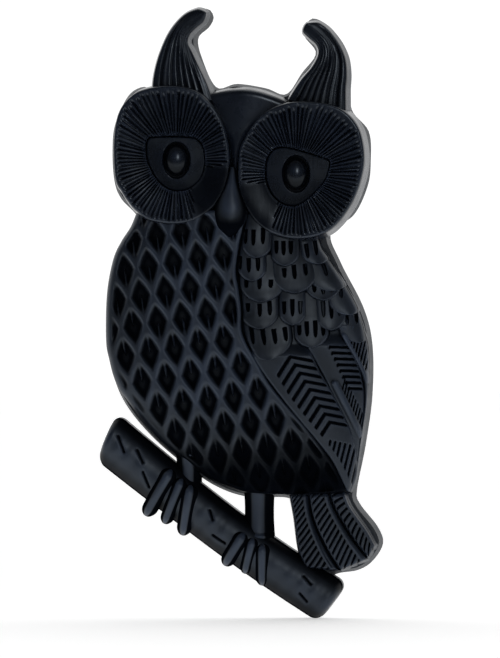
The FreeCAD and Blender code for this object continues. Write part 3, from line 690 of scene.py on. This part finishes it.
TAIL_LINES = {
    "tail_feather_1": ([(18.2, -70), (20.6, -82), (22.6, -96), (25.8, -103)],
                       [(26, -66), (27.8, -82), (33.2, -95), (38.6, -104)]),
    "tail_feather_2": ([(26, -64), (28.4, -82), (34, -95), (39.6, -104)],
                       [(33, -64), (35.8, -77), (43.2, -90.4), (50.2, -99.6)]),
    "tail_feather_3": ([(33, -64), (36.6, -78), (44, -90.8), (50.4, -99.2)],
                       [(41, -70), (43.4, -78), (50.4, -88), (53.6, -94)]),
}
TAIL_CROWN = 0.9
TAIL_CUT_HALF = 0.62
TAIL_CUT_DEPTH = 1.0
RIB_HALF = 0.9
RIB_RISE = 0.5
# The heights between which a tail feather's upper end sinks behind the breast.
TAIL_SINK = (-75, -71)


def tail_feather(name, top, rib, slope, pitch):
    """A tail feather, with a rib near its right edge and slanting cuts from there to the left."""
    left, right = TAIL_LINES[name]
    strip = Strip(left, right, rows=240, cols=60, crowd=0.3)
    off = (rib - strip.s) * strip.width
    phase = strip.t * strip.length - off * slope
    cut = groove(np.mod(phase, pitch) - pitch / 2, TAIL_CUT_HALF)
    carved = step(0.4, 1.2, strip.edge(root=False, tip=False)) * step(0.5, 1.2, off) * step(0.1, 0.2, strip.t)
    h = top + TAIL_CROWN * (1 - (2 * strip.s - 1) ** 2) - TAIL_CUT_DEPTH * cut * carved
    h += RIB_RISE * np.clip(1 - (off / RIB_HALF) ** 2, 0, 1)
    h -= roll(strip.edge(root=False), 1.2) + SINK * step(*TAIL_SINK, strip.z)
    # The painted light and shade is a little weaker on the tail feathers.
    settle(relief(f"visual_{name}", strip.x, strip.z, h, wood, painted_light_gain=0.82), name)


# ---------------- head

DISC = {
    "left": [(-30.6, 89.6), (-40.0, 87.8), (-45.0, 84.6), (-48.4, 80), (-50.2, 74), (-51.0, 64), (-50.2, 52),
             (-47.6, 47), (-45, 43), (-42, 39.6), (-36.4, 35.8), (-26.6, 34.4), (-18.6, 35.9), (-11.8, 40.2),
             (-8.8, 44), (-6.4, 48.8), (-4.6, 58), (-5.0, 66.8), (-8.4, 77.2), (-15.0, 85.6), (-21.6, 88.8)],
    "right": [(-1.0, 58), (-0.4, 64), (1.6, 68.8), (4.8, 74), (8.8, 78.2), (13.4, 81), (19.4, 82.8),
              (25.4, 83.2), (31.4, 82.8), (37.0, 81.6), (41.6, 79.2), (45.2, 75.6), (47.7, 71.2),
              (49.0, 65.6), (49.4, 60.4), (48.8, 54.8), (47.2, 49), (45.0, 43.6), (42.0, 38.6),
              (38.8, 34.6), (35.0, 31.4), (29.6, 29.2), (23.4, 28.4), (17.4, 29), (11.6, 31), (7.0, 34.2),
              (3.4, 38.6), (0.6, 44), (-0.9, 50)],
}
IRIS = {
    "left": [(-37.2, 68.6), (-34, 69.2), (-28, 69.4), (-22, 69.2), (-18.2, 68.6), (-15.6, 66), (-14.6, 62),
             (-14.6, 57.6), (-15.9, 53.2), (-18.6, 50), (-21.9, 48.1), (-25.8, 47.6), (-29.4, 48.6),
             (-33.4, 51.8), (-36, 56), (-37.6, 60), (-38.1, 65)],
    "right": [(9.8, 56), (10.6, 60.8), (13, 64), (16.4, 65), (20.4, 64.5), (25.4, 63.1), (31.4, 61.3),
              (34.6, 60.2), (35.5, 58.6), (35.1, 56), (33.7, 52), (30.6, 48), (26.6, 44.2), (22.8, 41.9),
              (19.2, 41.6), (15.4, 43.2), (12.2, 46.4), (10.2, 51)],
}
# Middle, half width and half height of each pupil.
PUPIL = {"left": (-26.0, 60.0, 4.9, 6.5), "right": (21.9, 54.4, 4.9, 6.6)}
# The stretch of each disc without rays, as its middle angle and half width in degrees about the pupil. It
# gets less painted light than the rest, so it is painted darker and less glossy.
SMOOTH_PATCH = {"left": (-38, 27), "right": (218, 24)}
PATCH_PAINTED_LIGHT = 0.3
RAYS = {"left": 84, "right": 88}
RAY_DEPTH = 0.8
RAY_SHARE = 0.33
WIDEST_RAY = 0.6
DISC_TOP = 19.5
DISC_DISH = 1.1
DISC_ROLL = 1.1
IRIS_GAP = 0.25
IRIS_TOP = 15.2
IRIS_SEAT = 12.0
IRIS_ROLL = 0.7
PUPIL_RISE = 4.8
# The painted highlight on each pupil: how far right of and above its middle, and its reach.
HIGHLIGHT_RIGHT = 0.4
HIGHLIGHT_UP = 1.4
HIGHLIGHT_REACH = 2.7


def radii(points, centre, angles):
    """Distance from a centre to a closed outline in each direction."""
    line = smooth_line(points, 720, closed=True) - np.array(centre)
    bearing = np.mod(np.arctan2(line[:, 1], line[:, 0]), 2 * np.pi)
    order = np.argsort(bearing)
    bearing, length = bearing[order], np.linalg.norm(line, axis=1)[order]
    bearing = np.concatenate([bearing[-1:] - 2 * np.pi, bearing, bearing[:1] + 2 * np.pi])
    length = np.concatenate([length[-1:], length, length[:1]])
    return np.interp(angles, bearing, length)


def degrees_away(angle, middle):
    """How far an angle is from another, from 0 to 180 degrees."""
    return np.abs(np.mod(angle - middle + 180, 360) - 180)


def eye_disc(side):
    """A dished disc round the eye, cut with fine rays of uneven length and depth."""
    centre = PUPIL[side][:2]
    angles = np.linspace(0, 2 * np.pi, 1100, endpoint=False)
    outer = radii(DISC[side], centre, angles)
    inner = radii(IRIS[side], centre, angles) + IRIS_GAP
    s = 1 - crowded(60, 0.35)[:, None]
    radius = inner + (outer - inner) * s
    x, z = centre[0] + radius * np.cos(angles), centre[1] + radius * np.sin(angles)
    rng = np.random.default_rng(SEED + len(side))
    count = RAYS[side]
    place = angles / (2 * np.pi) * count
    number = np.floor(place).astype(int) % count
    jitter = rng.uniform(-0.12, 0.12, count)[number]
    strength = rng.uniform(0.7, 1.15, count)[number]
    reach_out = rng.uniform(0.88, 0.97, count)[number]
    fraction = place - np.floor(place) - 0.5 + jitter
    pitch = 2 * np.pi * radius / count
    cut = groove(fraction * pitch, np.minimum(RAY_SHARE * pitch, WIDEST_RAY)) ** 0.6
    middle, spread = SMOOTH_PATCH[side]
    ray_angle = (np.arange(count) + 0.5) * 360 / count
    reach_out *= step(spread - 6, spread + 8, degrees_away(ray_angle, middle))[number]
    # Painted shade: the smooth patch gets less of the painted light, dimming the lamp's reflection there.
    off_patch = step(spread - 4, spread + 10, degrees_away(np.degrees(angles), middle))
    painted_light_gain = (PATCH_PAINTED_LIGHT + (1 - PATCH_PAINTED_LIGHT) * off_patch) * np.ones_like(radius)
    along = step(-0.02, 0.02, s) * (1 - step(reach_out - 0.12, reach_out + 0.01, s))
    from_rim = (outer - inner) * (1 - s)
    dish = DISC_DISH * (1 - step(0.0, 0.9, s))
    h = DISC_TOP - dish - RAY_DEPTH * cut * along * strength - roll(from_rim, DISC_ROLL)
    x, z, painted_light_gain = (np.vstack([grid, grid[-1:]]) for grid in (x, z, painted_light_gain))
    h = np.vstack([h, np.full((1, len(angles)), IRIS_SEAT)])
    disc = polar_relief(f"visual_eye_disc_{side}", x, z, h, head_wood, draft=DISC_DRAFT, painted_light_gain=painted_light_gain)
    settle(disc, f"eye_disc_{side}")


def iris(side):
    """A smooth plate let into the disc, with a shallow groove round the pupil."""
    cx, cz, wide, tall = PUPIL[side]
    angles = np.linspace(0, 2 * np.pi, 360, endpoint=False)
    outer = radii(IRIS[side], (cx, cz), angles)
    s = 1 - crowded(70, 0.3)[:-1, None]
    x, z = cx + outer * s * np.cos(angles), cz + outer * s * np.sin(angles)
    from_pupil = (np.hypot((x - cx) / wide, (z - cz) / tall) - 1.06) * wide
    ring = np.clip(1 - (from_pupil / 0.5) ** 2, 0, 1)
    h = IRIS_TOP + 0.5 * (1 - s) - 0.6 * ring - roll(outer * (1 - s), IRIS_ROLL)
    plate = polar_relief(f"visual_iris_{side}", x, z, h, smooth_wood, base=IRIS_SEAT, draft=0.02)
    settle(plate, f"iris_{side}")


def pupil(side):
    """An oval domed button."""
    cx, cz, wide, tall = PUPIL[side]
    angles = np.linspace(0, 2 * np.pi, 160, endpoint=False)
    s = np.sin(np.linspace(np.pi / 2, 0, 50)[:-1])[:, None]
    x, z = cx + wide * s * np.cos(angles), cz + tall * s * np.sin(angles)
    h = IRIS_TOP - 0.6 + PUPIL_RISE * np.sqrt(1 - s**2) + 0 * x
    # Painted highlight: a bright spot a little above the pupil's middle, with the rest painted dark.
    from_highlight = np.hypot(x - cx - HIGHLIGHT_RIGHT, z - cz - HIGHLIGHT_UP) / HIGHLIGHT_REACH
    painted_light_gain = 0.3 + 1.1 * np.exp(-from_highlight**2)
    dome = polar_relief(f"visual_pupil_{side}", x, z, h, smooth_wood, base=IRIS_SEAT, draft=0, painted_light_gain=painted_light_gain)
    settle(dome, f"pupil_{side}")


EARS = {
    "left": ([(-36.0, 84), (-35.5, 92), (-34.4, 98), (-32.5, 104), (-29.9, 110), (-26.7, 114.8),
              (-22.6, 118.7), (-18.2, 120.6), (-14.8, 120.8)],
             [(-11.4, 84), (-14.0, 91), (-16.8, 97), (-19.6, 103), (-21.4, 107), (-20.8, 110), (-18.8, 112.4),
              (-15.9, 114.8), (-13.4, 117.4)]),
    "right": ([(18.6, 84), (23.6, 91.8), (28.2, 97.4), (30.6, 102.4), (29.8, 106), (26.8, 108.8),
               (24.4, 111.2), (23.8, 113.6)],
              [(41.8, 80), (41.8, 88), (42.2, 94), (41.7, 100), (40.0, 104.8), (37.6, 108.8), (34.4, 112.6),
               (31.0, 115), (28.0, 115.8)]),
}


# Grooves of an ear tuft: place across it from its outer edge, depth, and where along it they end.
EAR_GROOVES = [(0.16, 0.55, 0.95), (0.34, 0.4, 0.75), (0.48, 0.5, 0.7), (0.60, 0.55, 0.6),
               (0.72, 0.6, 0.52), (0.84, 0.6, 0.45)]
EAR_GROOVE_HALF = 0.85
EAR_TIP_TOP = 13.0
EAR_ROOT_RISE = 2.2
EAR_CROWN = 0.9
# Fine waves between the grooves, which die out towards the tip.
EAR_WAVE = 0.06
EAR_WAVES = 55


def ear_tuft(side):
    """A curved horn-like tuft with grooves running up towards its tip."""
    left, right = EARS[side]
    strip = Strip(left, right, rows=190, cols=110, crowd=0.3).round_tip(3.2)
    outer = strip.s if side == "left" else 1 - strip.s
    h = EAR_TIP_TOP + EAR_ROOT_RISE * (1 - step(0.0, 1.0, strip.t)) + EAR_CROWN * np.sin(np.pi * strip.s)
    for place, depth, end in EAR_GROOVES:
        reach = 1 - step(end - 0.25, end, strip.t)
        h -= depth * groove((outer - place) * strip.width, EAR_GROOVE_HALF) * reach
    h -= EAR_WAVE * np.sin(outer * EAR_WAVES) * (1 - step(0.55, 0.95, strip.t))
    h -= roll(strip.edge(root=False), 0.9)
    # The painted light and shade is weaker on the ear tufts.
    tuft = relief(f"visual_ear_tuft_{side}", strip.x, strip.z, h, head_wood, draft=STEEP_DRAFT, painted_light_gain=0.75)
    settle(tuft, f"ear_tuft_{side}")


CROWN_LINES = ([(-13, 86.5), (-10, 80), (-6.6, 72), (-4.4, 64), (-3.4, 55)],
               [(18, 83.5), (12, 78), (5, 72.5), (0.6, 65), (-2.0, 55)])
CROWN_TOP = 15.6
CROWN_SWELL = 1.4
CROWN_ARCH = 3.2
CROWN_FALL = 1.6
CROWN_ROLL = 2.6


def crown():
    """The plain top of the head, arched above and narrowing to a point between the discs."""
    strip = Strip(*CROWN_LINES, rows=120, cols=90, crowd=0.3)
    hump = np.sin(np.pi * strip.s)
    z = strip.z + CROWN_ARCH * hump * (1 - step(0, 0.35, strip.t))
    h = CROWN_TOP + CROWN_SWELL * hump - CROWN_FALL * step(0.3, 1, strip.t)
    h -= roll(strip.t * strip.length, CROWN_ROLL)
    # Painted shade along the top edge, where the painted light is weaker.
    painted_light_gain = 1.1 - 0.5 * (1 - step(0, 0.1, strip.t))
    settle(relief("visual_crown", strip.x, z, h, head_wood, painted_light_gain=painted_light_gain), "crown")


BEAK_LINES = ([(-4.0, 57), (-6.0, 51), (-8.6, 45), (-10.2, 40), (-9.6, 34.6), (-7.6, 31), (-5.6, 28.6)],
              [(-2.8, 57), (-1.4, 51), (0.4, 45), (1.8, 40), (0.9, 34.6), (-1.4, 31), (-4.0, 28.6)])
BEAK_ROOT = 17.0
BEAK_RISE = 5.6
BEAK_SIDES = 2.6
BEAK_END = 2.4
# The share of a full hump that the beak's ridge runs through, so its highest place is low down.
BEAK_HUMP = 0.72


def beak():
    """A drop-shaped beak that stands proud of the discs and the breast."""
    strip = Strip(*BEAK_LINES, rows=140, cols=90, crowd=0.3)
    across = np.abs(2 * strip.s - 1)
    h = BEAK_ROOT + BEAK_RISE * np.sin(np.pi * BEAK_HUMP * strip.t) ** 0.9
    h -= BEAK_SIDES * across**2.2 * step(0, 0.3, strip.t) + BEAK_END * step(0.8, 1.0, strip.t) ** 2
    # Painted highlight along the beak's ridge, with painted shade on its sides and its tip.
    painted_light_gain = 2.7 * (1 - across**1.2) * (1 - step(0.45, 0.8, strip.t))
    settle(relief("visual_beak", strip.x, strip.z, h, wood, painted_light_gain=painted_light_gain), "beak")


# ---------------- perch

# The branch runs along u from its start, with v across it and its axis this far off the back.
BRANCH_START = np.array([-50.2, -53.9])
BRANCH_TILT = math.radians(-36.9)
BRANCH_AXIS = 7.0
BRANCH_FROM = -5.4
BRANCH_TO = 107.2
BRANCH_MIDDLE = 50.0
BRANCH_REACH = 55.0
BRANCH_HALF = 9.3
BRANCH_RISE = 9.2
BRANCH_SKEW = 0.25
BARK_RIPPLE = 0.12
BARK_CUT_DEPTH = 1.0
BARK_CUT_HALF = 0.8
BARK_CUTS = [((-49.4, -50.4), (-47.0, -56.8)), ((-41.8, -56.0), (-39.4, -61.2)),
             ((-39.4, -64.8), (-37.0, -70.8)), ((-12.6, -80.0), (-11.4, -84.0)),
             ((-11.4, -90.0), (-6.6, -93.2)), ((25.0, -106.4), (27.8, -109.6)),
             ((23.4, -113.2), (26.2, -116.4))]


def half_turn(cols):
    """Angles round the front of a bar, from its left or lower side to the other."""
    return np.linspace(-np.pi / 2, np.pi / 2, cols)[None, :]


def branch():
    """A round bar, a little thicker and higher towards both ends, with a few bark cuts."""
    u = BRANCH_FROM + (BRANCH_TO - BRANCH_FROM) * crowded(420, 0.35)[:, None]
    phi = half_turn(90)
    to_left = np.clip((BRANCH_MIDDLE - u) / BRANCH_REACH, 0, 1.2) ** 2
    to_right = np.clip((u - BRANCH_MIDDLE) / BRANCH_REACH, 0, 1.2) ** 2
    from_end = np.minimum(u - BRANCH_FROM, BRANCH_TO - u)
    half = BRANCH_HALF + 0.8 * to_left + 0.3 * to_right - roll(from_end, 4.2)
    v = half * np.sin(phi) - 1.7 + 1.4 * to_left + 2.6 * to_right
    u = u - BRANCH_SKEW * v * (1 - step(BRANCH_FROM, 12, u))
    h = BRANCH_AXIS + (BRANCH_RISE - roll(from_end, 3.0)) * np.cos(phi)
    x = BRANCH_START[0] + u * math.cos(BRANCH_TILT) - v * math.sin(BRANCH_TILT)
    z = BRANCH_START[1] + u * math.sin(BRANCH_TILT) + v * math.cos(BRANCH_TILT)
    for start, stop in BARK_CUTS:
        h -= BARK_CUT_DEPTH * groove(segment_distance(x, z, start, stop), BARK_CUT_HALF)
    h += BARK_RIPPLE * np.sin(u * 0.9 + 2 * np.sin(u * 0.13)) * np.cos(phi)
    # Painted light along the branch's front, with painted shade on its upper and lower sides.
    painted_light_gain = 0.05 + 1.1 * np.cos(phi) ** 3.5
    settle(relief("visual_branch", x, z, h, wood, base=0.0, draft=0.02, painted_light_gain=painted_light_gain), "branch")


def round_front_light(phi):
    """Painted light along the fronts of legs and toes, with painted shade on their sides so that they stay
    dark.
    """
    return 1.3 * step(0.83, 0.985, np.cos(phi))


LEG_AXIS = 6.5
LEG_BACK = 1.3
LEG_PROUD = 1.2
LEG_WAIST = 0.10
# The raised ring low on each leg: its middle and half width along the leg, and its rise.
ANKLE_PLACE = 0.9
ANKLE_HALF = 0.05
ANKLE_RISE = 0.9


def leg(side, middle, top, bottom, radius):
    """An upright bar, narrowest halfway, with a ring at the ankle."""
    t = np.linspace(0, 1, 60)[:, None]
    phi = half_turn(40)
    z = top + (bottom - top) * t + 0 * phi
    waist = radius * (1 - LEG_WAIST * np.sin(np.pi * t))
    x = middle + waist * np.sin(phi)
    ankle = ANKLE_RISE * groove(t - ANKLE_PLACE, ANKLE_HALF)
    h = LEG_AXIS + (waist + LEG_PROUD + ankle) * np.cos(phi)
    # Painted light on the front and painted shade on the sides; the side walls get tone 0, so they are
    # painted near black.
    painted_light_gain = round_front_light(phi)
    bar = relief(f"visual_leg_{side}", x, z, h, wood, base=LEG_BACK, draft=0.03, painted_light_gain=painted_light_gain, wall_tone=0)
    settle(bar, f"leg_{side}")


# Each toe: name, the middles of its round root and tip, and its radius.
TOES = [
    ("toe_left_1", (-29.8, -67.0), (-37.0, -79.4), 3.7),
    ("toe_left_2", (-25.0, -70.4), (-30.0, -82.8), 3.2),
    ("toe_left_3", (-20.8, -73.4), (-23.2, -87.0), 3.5),
    ("toe_right_1", (-0.6, -92.0), (-5.2, -99.4), 3.6),
    ("toe_right_2", (4.0, -94.0), (1.8, -102.8), 3.0),
    ("toe_right_3", (8.4, -96.6), (8.2, -107.2), 3.2),
]
TOE_TOP = 14.6
TOE_BACK = 5.0
# A toe is thinner at its tip by this share, and stands up by this much of its half width.
TOE_TAPER = 0.22
TOE_SWELL = 1.25
# It is highest this far along, and falls away from there.
TOE_HIGHEST = 0.3
TOE_FALL = 8.0
THINNEST = 0.12


def toe(name, root, tip, radius):
    """A round-ended finger that lies over the branch."""
    root, tip = np.array(root), np.array(tip)
    along = tip - root
    length = np.linalg.norm(along) + 2 * radius
    along /= np.linalg.norm(along)
    side = np.array([-along[1], along[0]])
    t = crowded(60, 0.6)[:, None]
    from_end = length * np.minimum(t, 1 - t)
    half = np.maximum((radius - roll(from_end, radius)) * (1 - TOE_TAPER * t), THINNEST)
    phi = half_turn(36)
    u = length * t - radius
    v = half * np.sin(phi)
    x = root[0] + along[0] * u + side[0] * v
    z = root[1] + along[1] * u + side[1] * v
    h = TOE_TOP - TOE_FALL * (t - TOE_HIGHEST) ** 2 + half * TOE_SWELL * np.cos(phi) ** 1.2
    # Painted light on the front and painted shade on the sides; the side walls get tone 0, so they are
    # painted near black.
    painted_light_gain = round_front_light(phi)
    finger = relief(f"visual_{name}", x, z, h, wood, base=TOE_BACK, draft=0, painted_light_gain=painted_light_gain, wall_tone=0)
    settle(finger, name)


# ---------------- board

BOARD = [(-35.6, 89), (-34.7, 98), (-30.1, 109.6), (-22.8, 118.4), (-15, 121.3), (-12.2, 118), (-14, 114),
         (-18.4, 109.5), (-16.8, 101.2), (-11.0, 89.6), (-2.6, 91), (9, 89.2), (17.2, 86.8), (23.6, 95.4),
         (29.2, 103.4), (24.4, 110.8), (27.6, 117.2), (35, 113.4), (40.5, 104.8), (42.9, 94), (43.4, 80.8),
         (50.3, 71.8), (51.1, 60), (49.9, 50), (44.4, 38.4), (35.0, 31.0), (39.1, 19), (48.2, 1),
         (51.8, -14), (51.8, -34), (49.1, -54), (45.6, -72), (46.6, -77.6), (54, -87.2), (56, -94),
         (51.6, -101), (46, -104.4), (38.6, -105.6), (31.4, -107.8), (26.4, -104.6), (22.6, -96),
         (20.8, -82), (18.4, -75.6), (1.4, -75), (-12, -70.3), (-25.4, -60.9), (-38.2, -49.5), (-48, -37),
         (-52.9, -24), (-55, -4), (-53.6, 14), (-48.6, 28), (-42.6, 36.6), (-49.4, 45), (-52.1, 52),
         (-52.9, 64), (-51.8, 75), (-46.6, 86.2), (-40.8, 89.9)]
BOARD_INSET = 1.3
HOLE_X = 0.0
HOLE_Z = 40.0
HOLE_RADIUS = 4.0
HOLE_DEPTH = 6.0


def at_depth(loop, height):
    """A 2D loop placed at one height over the flat back."""
    return np.column_stack([loop[:, 0], np.full(len(loop), -height), loop[:, 1]])


def board():
    """The flat board behind everything, with its blind hanging hole."""
    count, hole_count = 420, 64
    loop = smooth_line(BOARD, count, closed=True)
    normal = outward_normals(loop)
    loop = loop - normal * BOARD_INSET
    spread = loop + normal * BOARD_T * WALL_DRAFT
    angle = np.linspace(0, 2 * np.pi, hole_count, endpoint=False)
    hole = np.column_stack([HOLE_X + HOLE_RADIUS * np.cos(angle), HOLE_Z + HOLE_RADIUS * np.sin(angle)])
    rings = [at_depth(spread, 0), at_depth(hole, 0), at_depth(loop, BOARD_T), at_depth(hole, HOLE_DEPTH)]
    starts = np.cumsum([0] + [len(ring) for ring in rings])
    back, mouth, front, deep = [range(a, b) for a, b in zip(starts, starts[1:])]
    flat_back = [[Vector(point) for point in ring] for ring in rings[:2]]
    faces = [tuple(corners) for corners in tessellate_polygon(flat_back)]
    faces += join_rings(back, front) + join_rings(mouth, deep) + [tuple(front), tuple(deep)]
    thing = set_tone(make_object("visual_body_board", np.vstack(rings), faces, back_wood))
    shape = bmesh.new()
    shape.from_mesh(thing.data)
    bmesh.ops.recalc_face_normals(shape, faces=shape.faces)
    shape.to_mesh(thing.data)
    shape.free()
    settle(thing, "body_board")


# ---------------- stage, camera and light

# From here on, lengths are in metres.
CAMERA_YAW = math.radians(3.5)
CAMERA_DISTANCE = 2.2
FRAME_HEIGHT = 0.2632
AIM = Vector((0.0034, -0.014, -0.0076))
SENSOR = 36.0
FLOOR_HALF = 6.0
FLOOR_NEAR = -0.45
FLOOR_FAR = 8.0
FLOOR_GLOW = 0.5
PALE = (0.9, 0.9, 0.9, 1)
WHITE = (1, 1, 1, 1)
# The world is brightest this way, behind the object and a little above it.
BRIGHT_SIDE = (0, 0.97, 0.24)
BRIGHT_SPAN = (-0.05, 0.55)
BRIGHTNESS = (0.05, 1.1)


def add_camera():
    """Looks at the object from the front and a little from the right."""
    camera = bpy.data.objects.new("camera", bpy.data.cameras.new("camera"))
    bpy.context.scene.collection.objects.link(camera)
    back = Vector((math.sin(CAMERA_YAW), -math.cos(CAMERA_YAW), 0))
    camera.location = AIM + back * CAMERA_DISTANCE
    camera.rotation_euler = (AIM - camera.location).to_track_quat("-Z", "Y").to_euler()
    camera.data.sensor_width = SENSOR
    camera.data.lens = SENSOR * CAMERA_DISTANCE / FRAME_HEIGHT
    camera.data.clip_end = 50
    bpy.context.scene.camera = camera


def add_key_light(place, size, power):
    """A soft rectangular lamp that faces the object."""
    data = bpy.data.lights.new("key", "AREA")
    data.shape = "RECTANGLE"
    data.size, data.size_y = size
    data.energy = power
    lamp = bpy.data.objects.new("key", data)
    bpy.context.scene.collection.objects.link(lamp)
    lamp.location = place
    lamp.rotation_euler = (-Vector(place)).to_track_quat("-Z", "Y").to_euler()


def floor_material():
    """Pale and matt, with a little glow so that it stays white under the soft light."""
    material = bpy.data.materials.new("floor")
    material.use_nodes = True
    shader = material.node_tree.nodes["Principled BSDF"]
    shader.inputs["Base Color"].default_value = PALE
    shader.inputs["Roughness"].default_value = 0.9
    shader.inputs["Emission Color"].default_value = WHITE
    shader.inputs["Emission Strength"].default_value = FLOOR_GLOW
    return material


def add_floor(level):
    """A plain floor that reaches from just in front of the object to far behind it."""
    mesh = bpy.data.meshes.new("floor")
    corners = [(-FLOOR_HALF, FLOOR_NEAR, level), (FLOOR_HALF, FLOOR_NEAR, level),
               (FLOOR_HALF, FLOOR_FAR, level), (-FLOOR_HALF, FLOOR_FAR, level)]
    mesh.from_pydata(corners, [], [(0, 1, 2, 3)])
    mesh.materials.append(floor_material())
    floor = bpy.data.objects.new("floor", mesh)
    bpy.context.scene.collection.objects.link(floor)
    floor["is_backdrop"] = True


def add_world():
    """Bright behind and above, dark where the camera stands."""
    world = bpy.data.worlds.new("studio")
    world.use_nodes = True
    nodes, links = world.node_tree.nodes, world.node_tree.links
    background = nodes["Background"]
    place = nodes.new("ShaderNodeTexCoord")
    facing = nodes.new("ShaderNodeVectorMath")
    facing.operation = "DOT_PRODUCT"
    facing.inputs[1].default_value = BRIGHT_SIDE
    links.new(place.outputs["Generated"], facing.inputs[0])
    ramp = nodes.new("ShaderNodeMapRange")
    for key, value in zip(("From Min", "From Max", "To Min", "To Max"), (*BRIGHT_SPAN, *BRIGHTNESS)):
        ramp.inputs[key].default_value = value
    links.new(facing.outputs["Value"], ramp.inputs["Value"])
    links.new(ramp.outputs["Result"], background.inputs["Strength"])
    background.inputs["Color"].default_value = WHITE
    bpy.context.scene.world = world


# ---------------- build

for side in ("left", "right"):
    ear_tuft(side)
    eye_disc(side)
    iris(side)
    pupil(side)
crown()
beak()
breast()
for spec in COVERTS:
    covert(*spec)
primary("primary_3", lift=-0.6, margin=0.5, sink_from=-7)
primary("primary_2", lift=-0.9, margin=0.5, sink_from=-15)
primary("primary_1", lift=0.0, margin=3.2, sink_from=-19)
tail_feather("tail_feather_1", top=13.0, rib=0.8, slope=0.9, pitch=2.3)
tail_feather("tail_feather_2", top=14.0, rib=0.85, slope=0.8, pitch=2.4)
tail_feather("tail_feather_3", top=13.0, rib=0.85, slope=0.8, pitch=2.6)
branch()
leg("left", middle=-21.6, top=-58, bottom=-76, radius=5.2)
leg("right", middle=6.5, top=-69, bottom=-93, radius=6.2)
for spec in TOES:
    toe(*spec)
board()
for side in ("left", "right"):
    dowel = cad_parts[f"leg_dowel_{side}"]
    dowel.data.materials.clear()
    dowel.data.materials.append(bare_wood)

add_camera()
add_world()
add_floor(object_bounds()[0][2])
add_key_light(place=(0.5, -1.85, 0.62), size=(0.3, 0.5), power=5)

scene = bpy.context.scene
scene.view_settings.view_transform = "Standard"
scene.view_settings.look = "None"
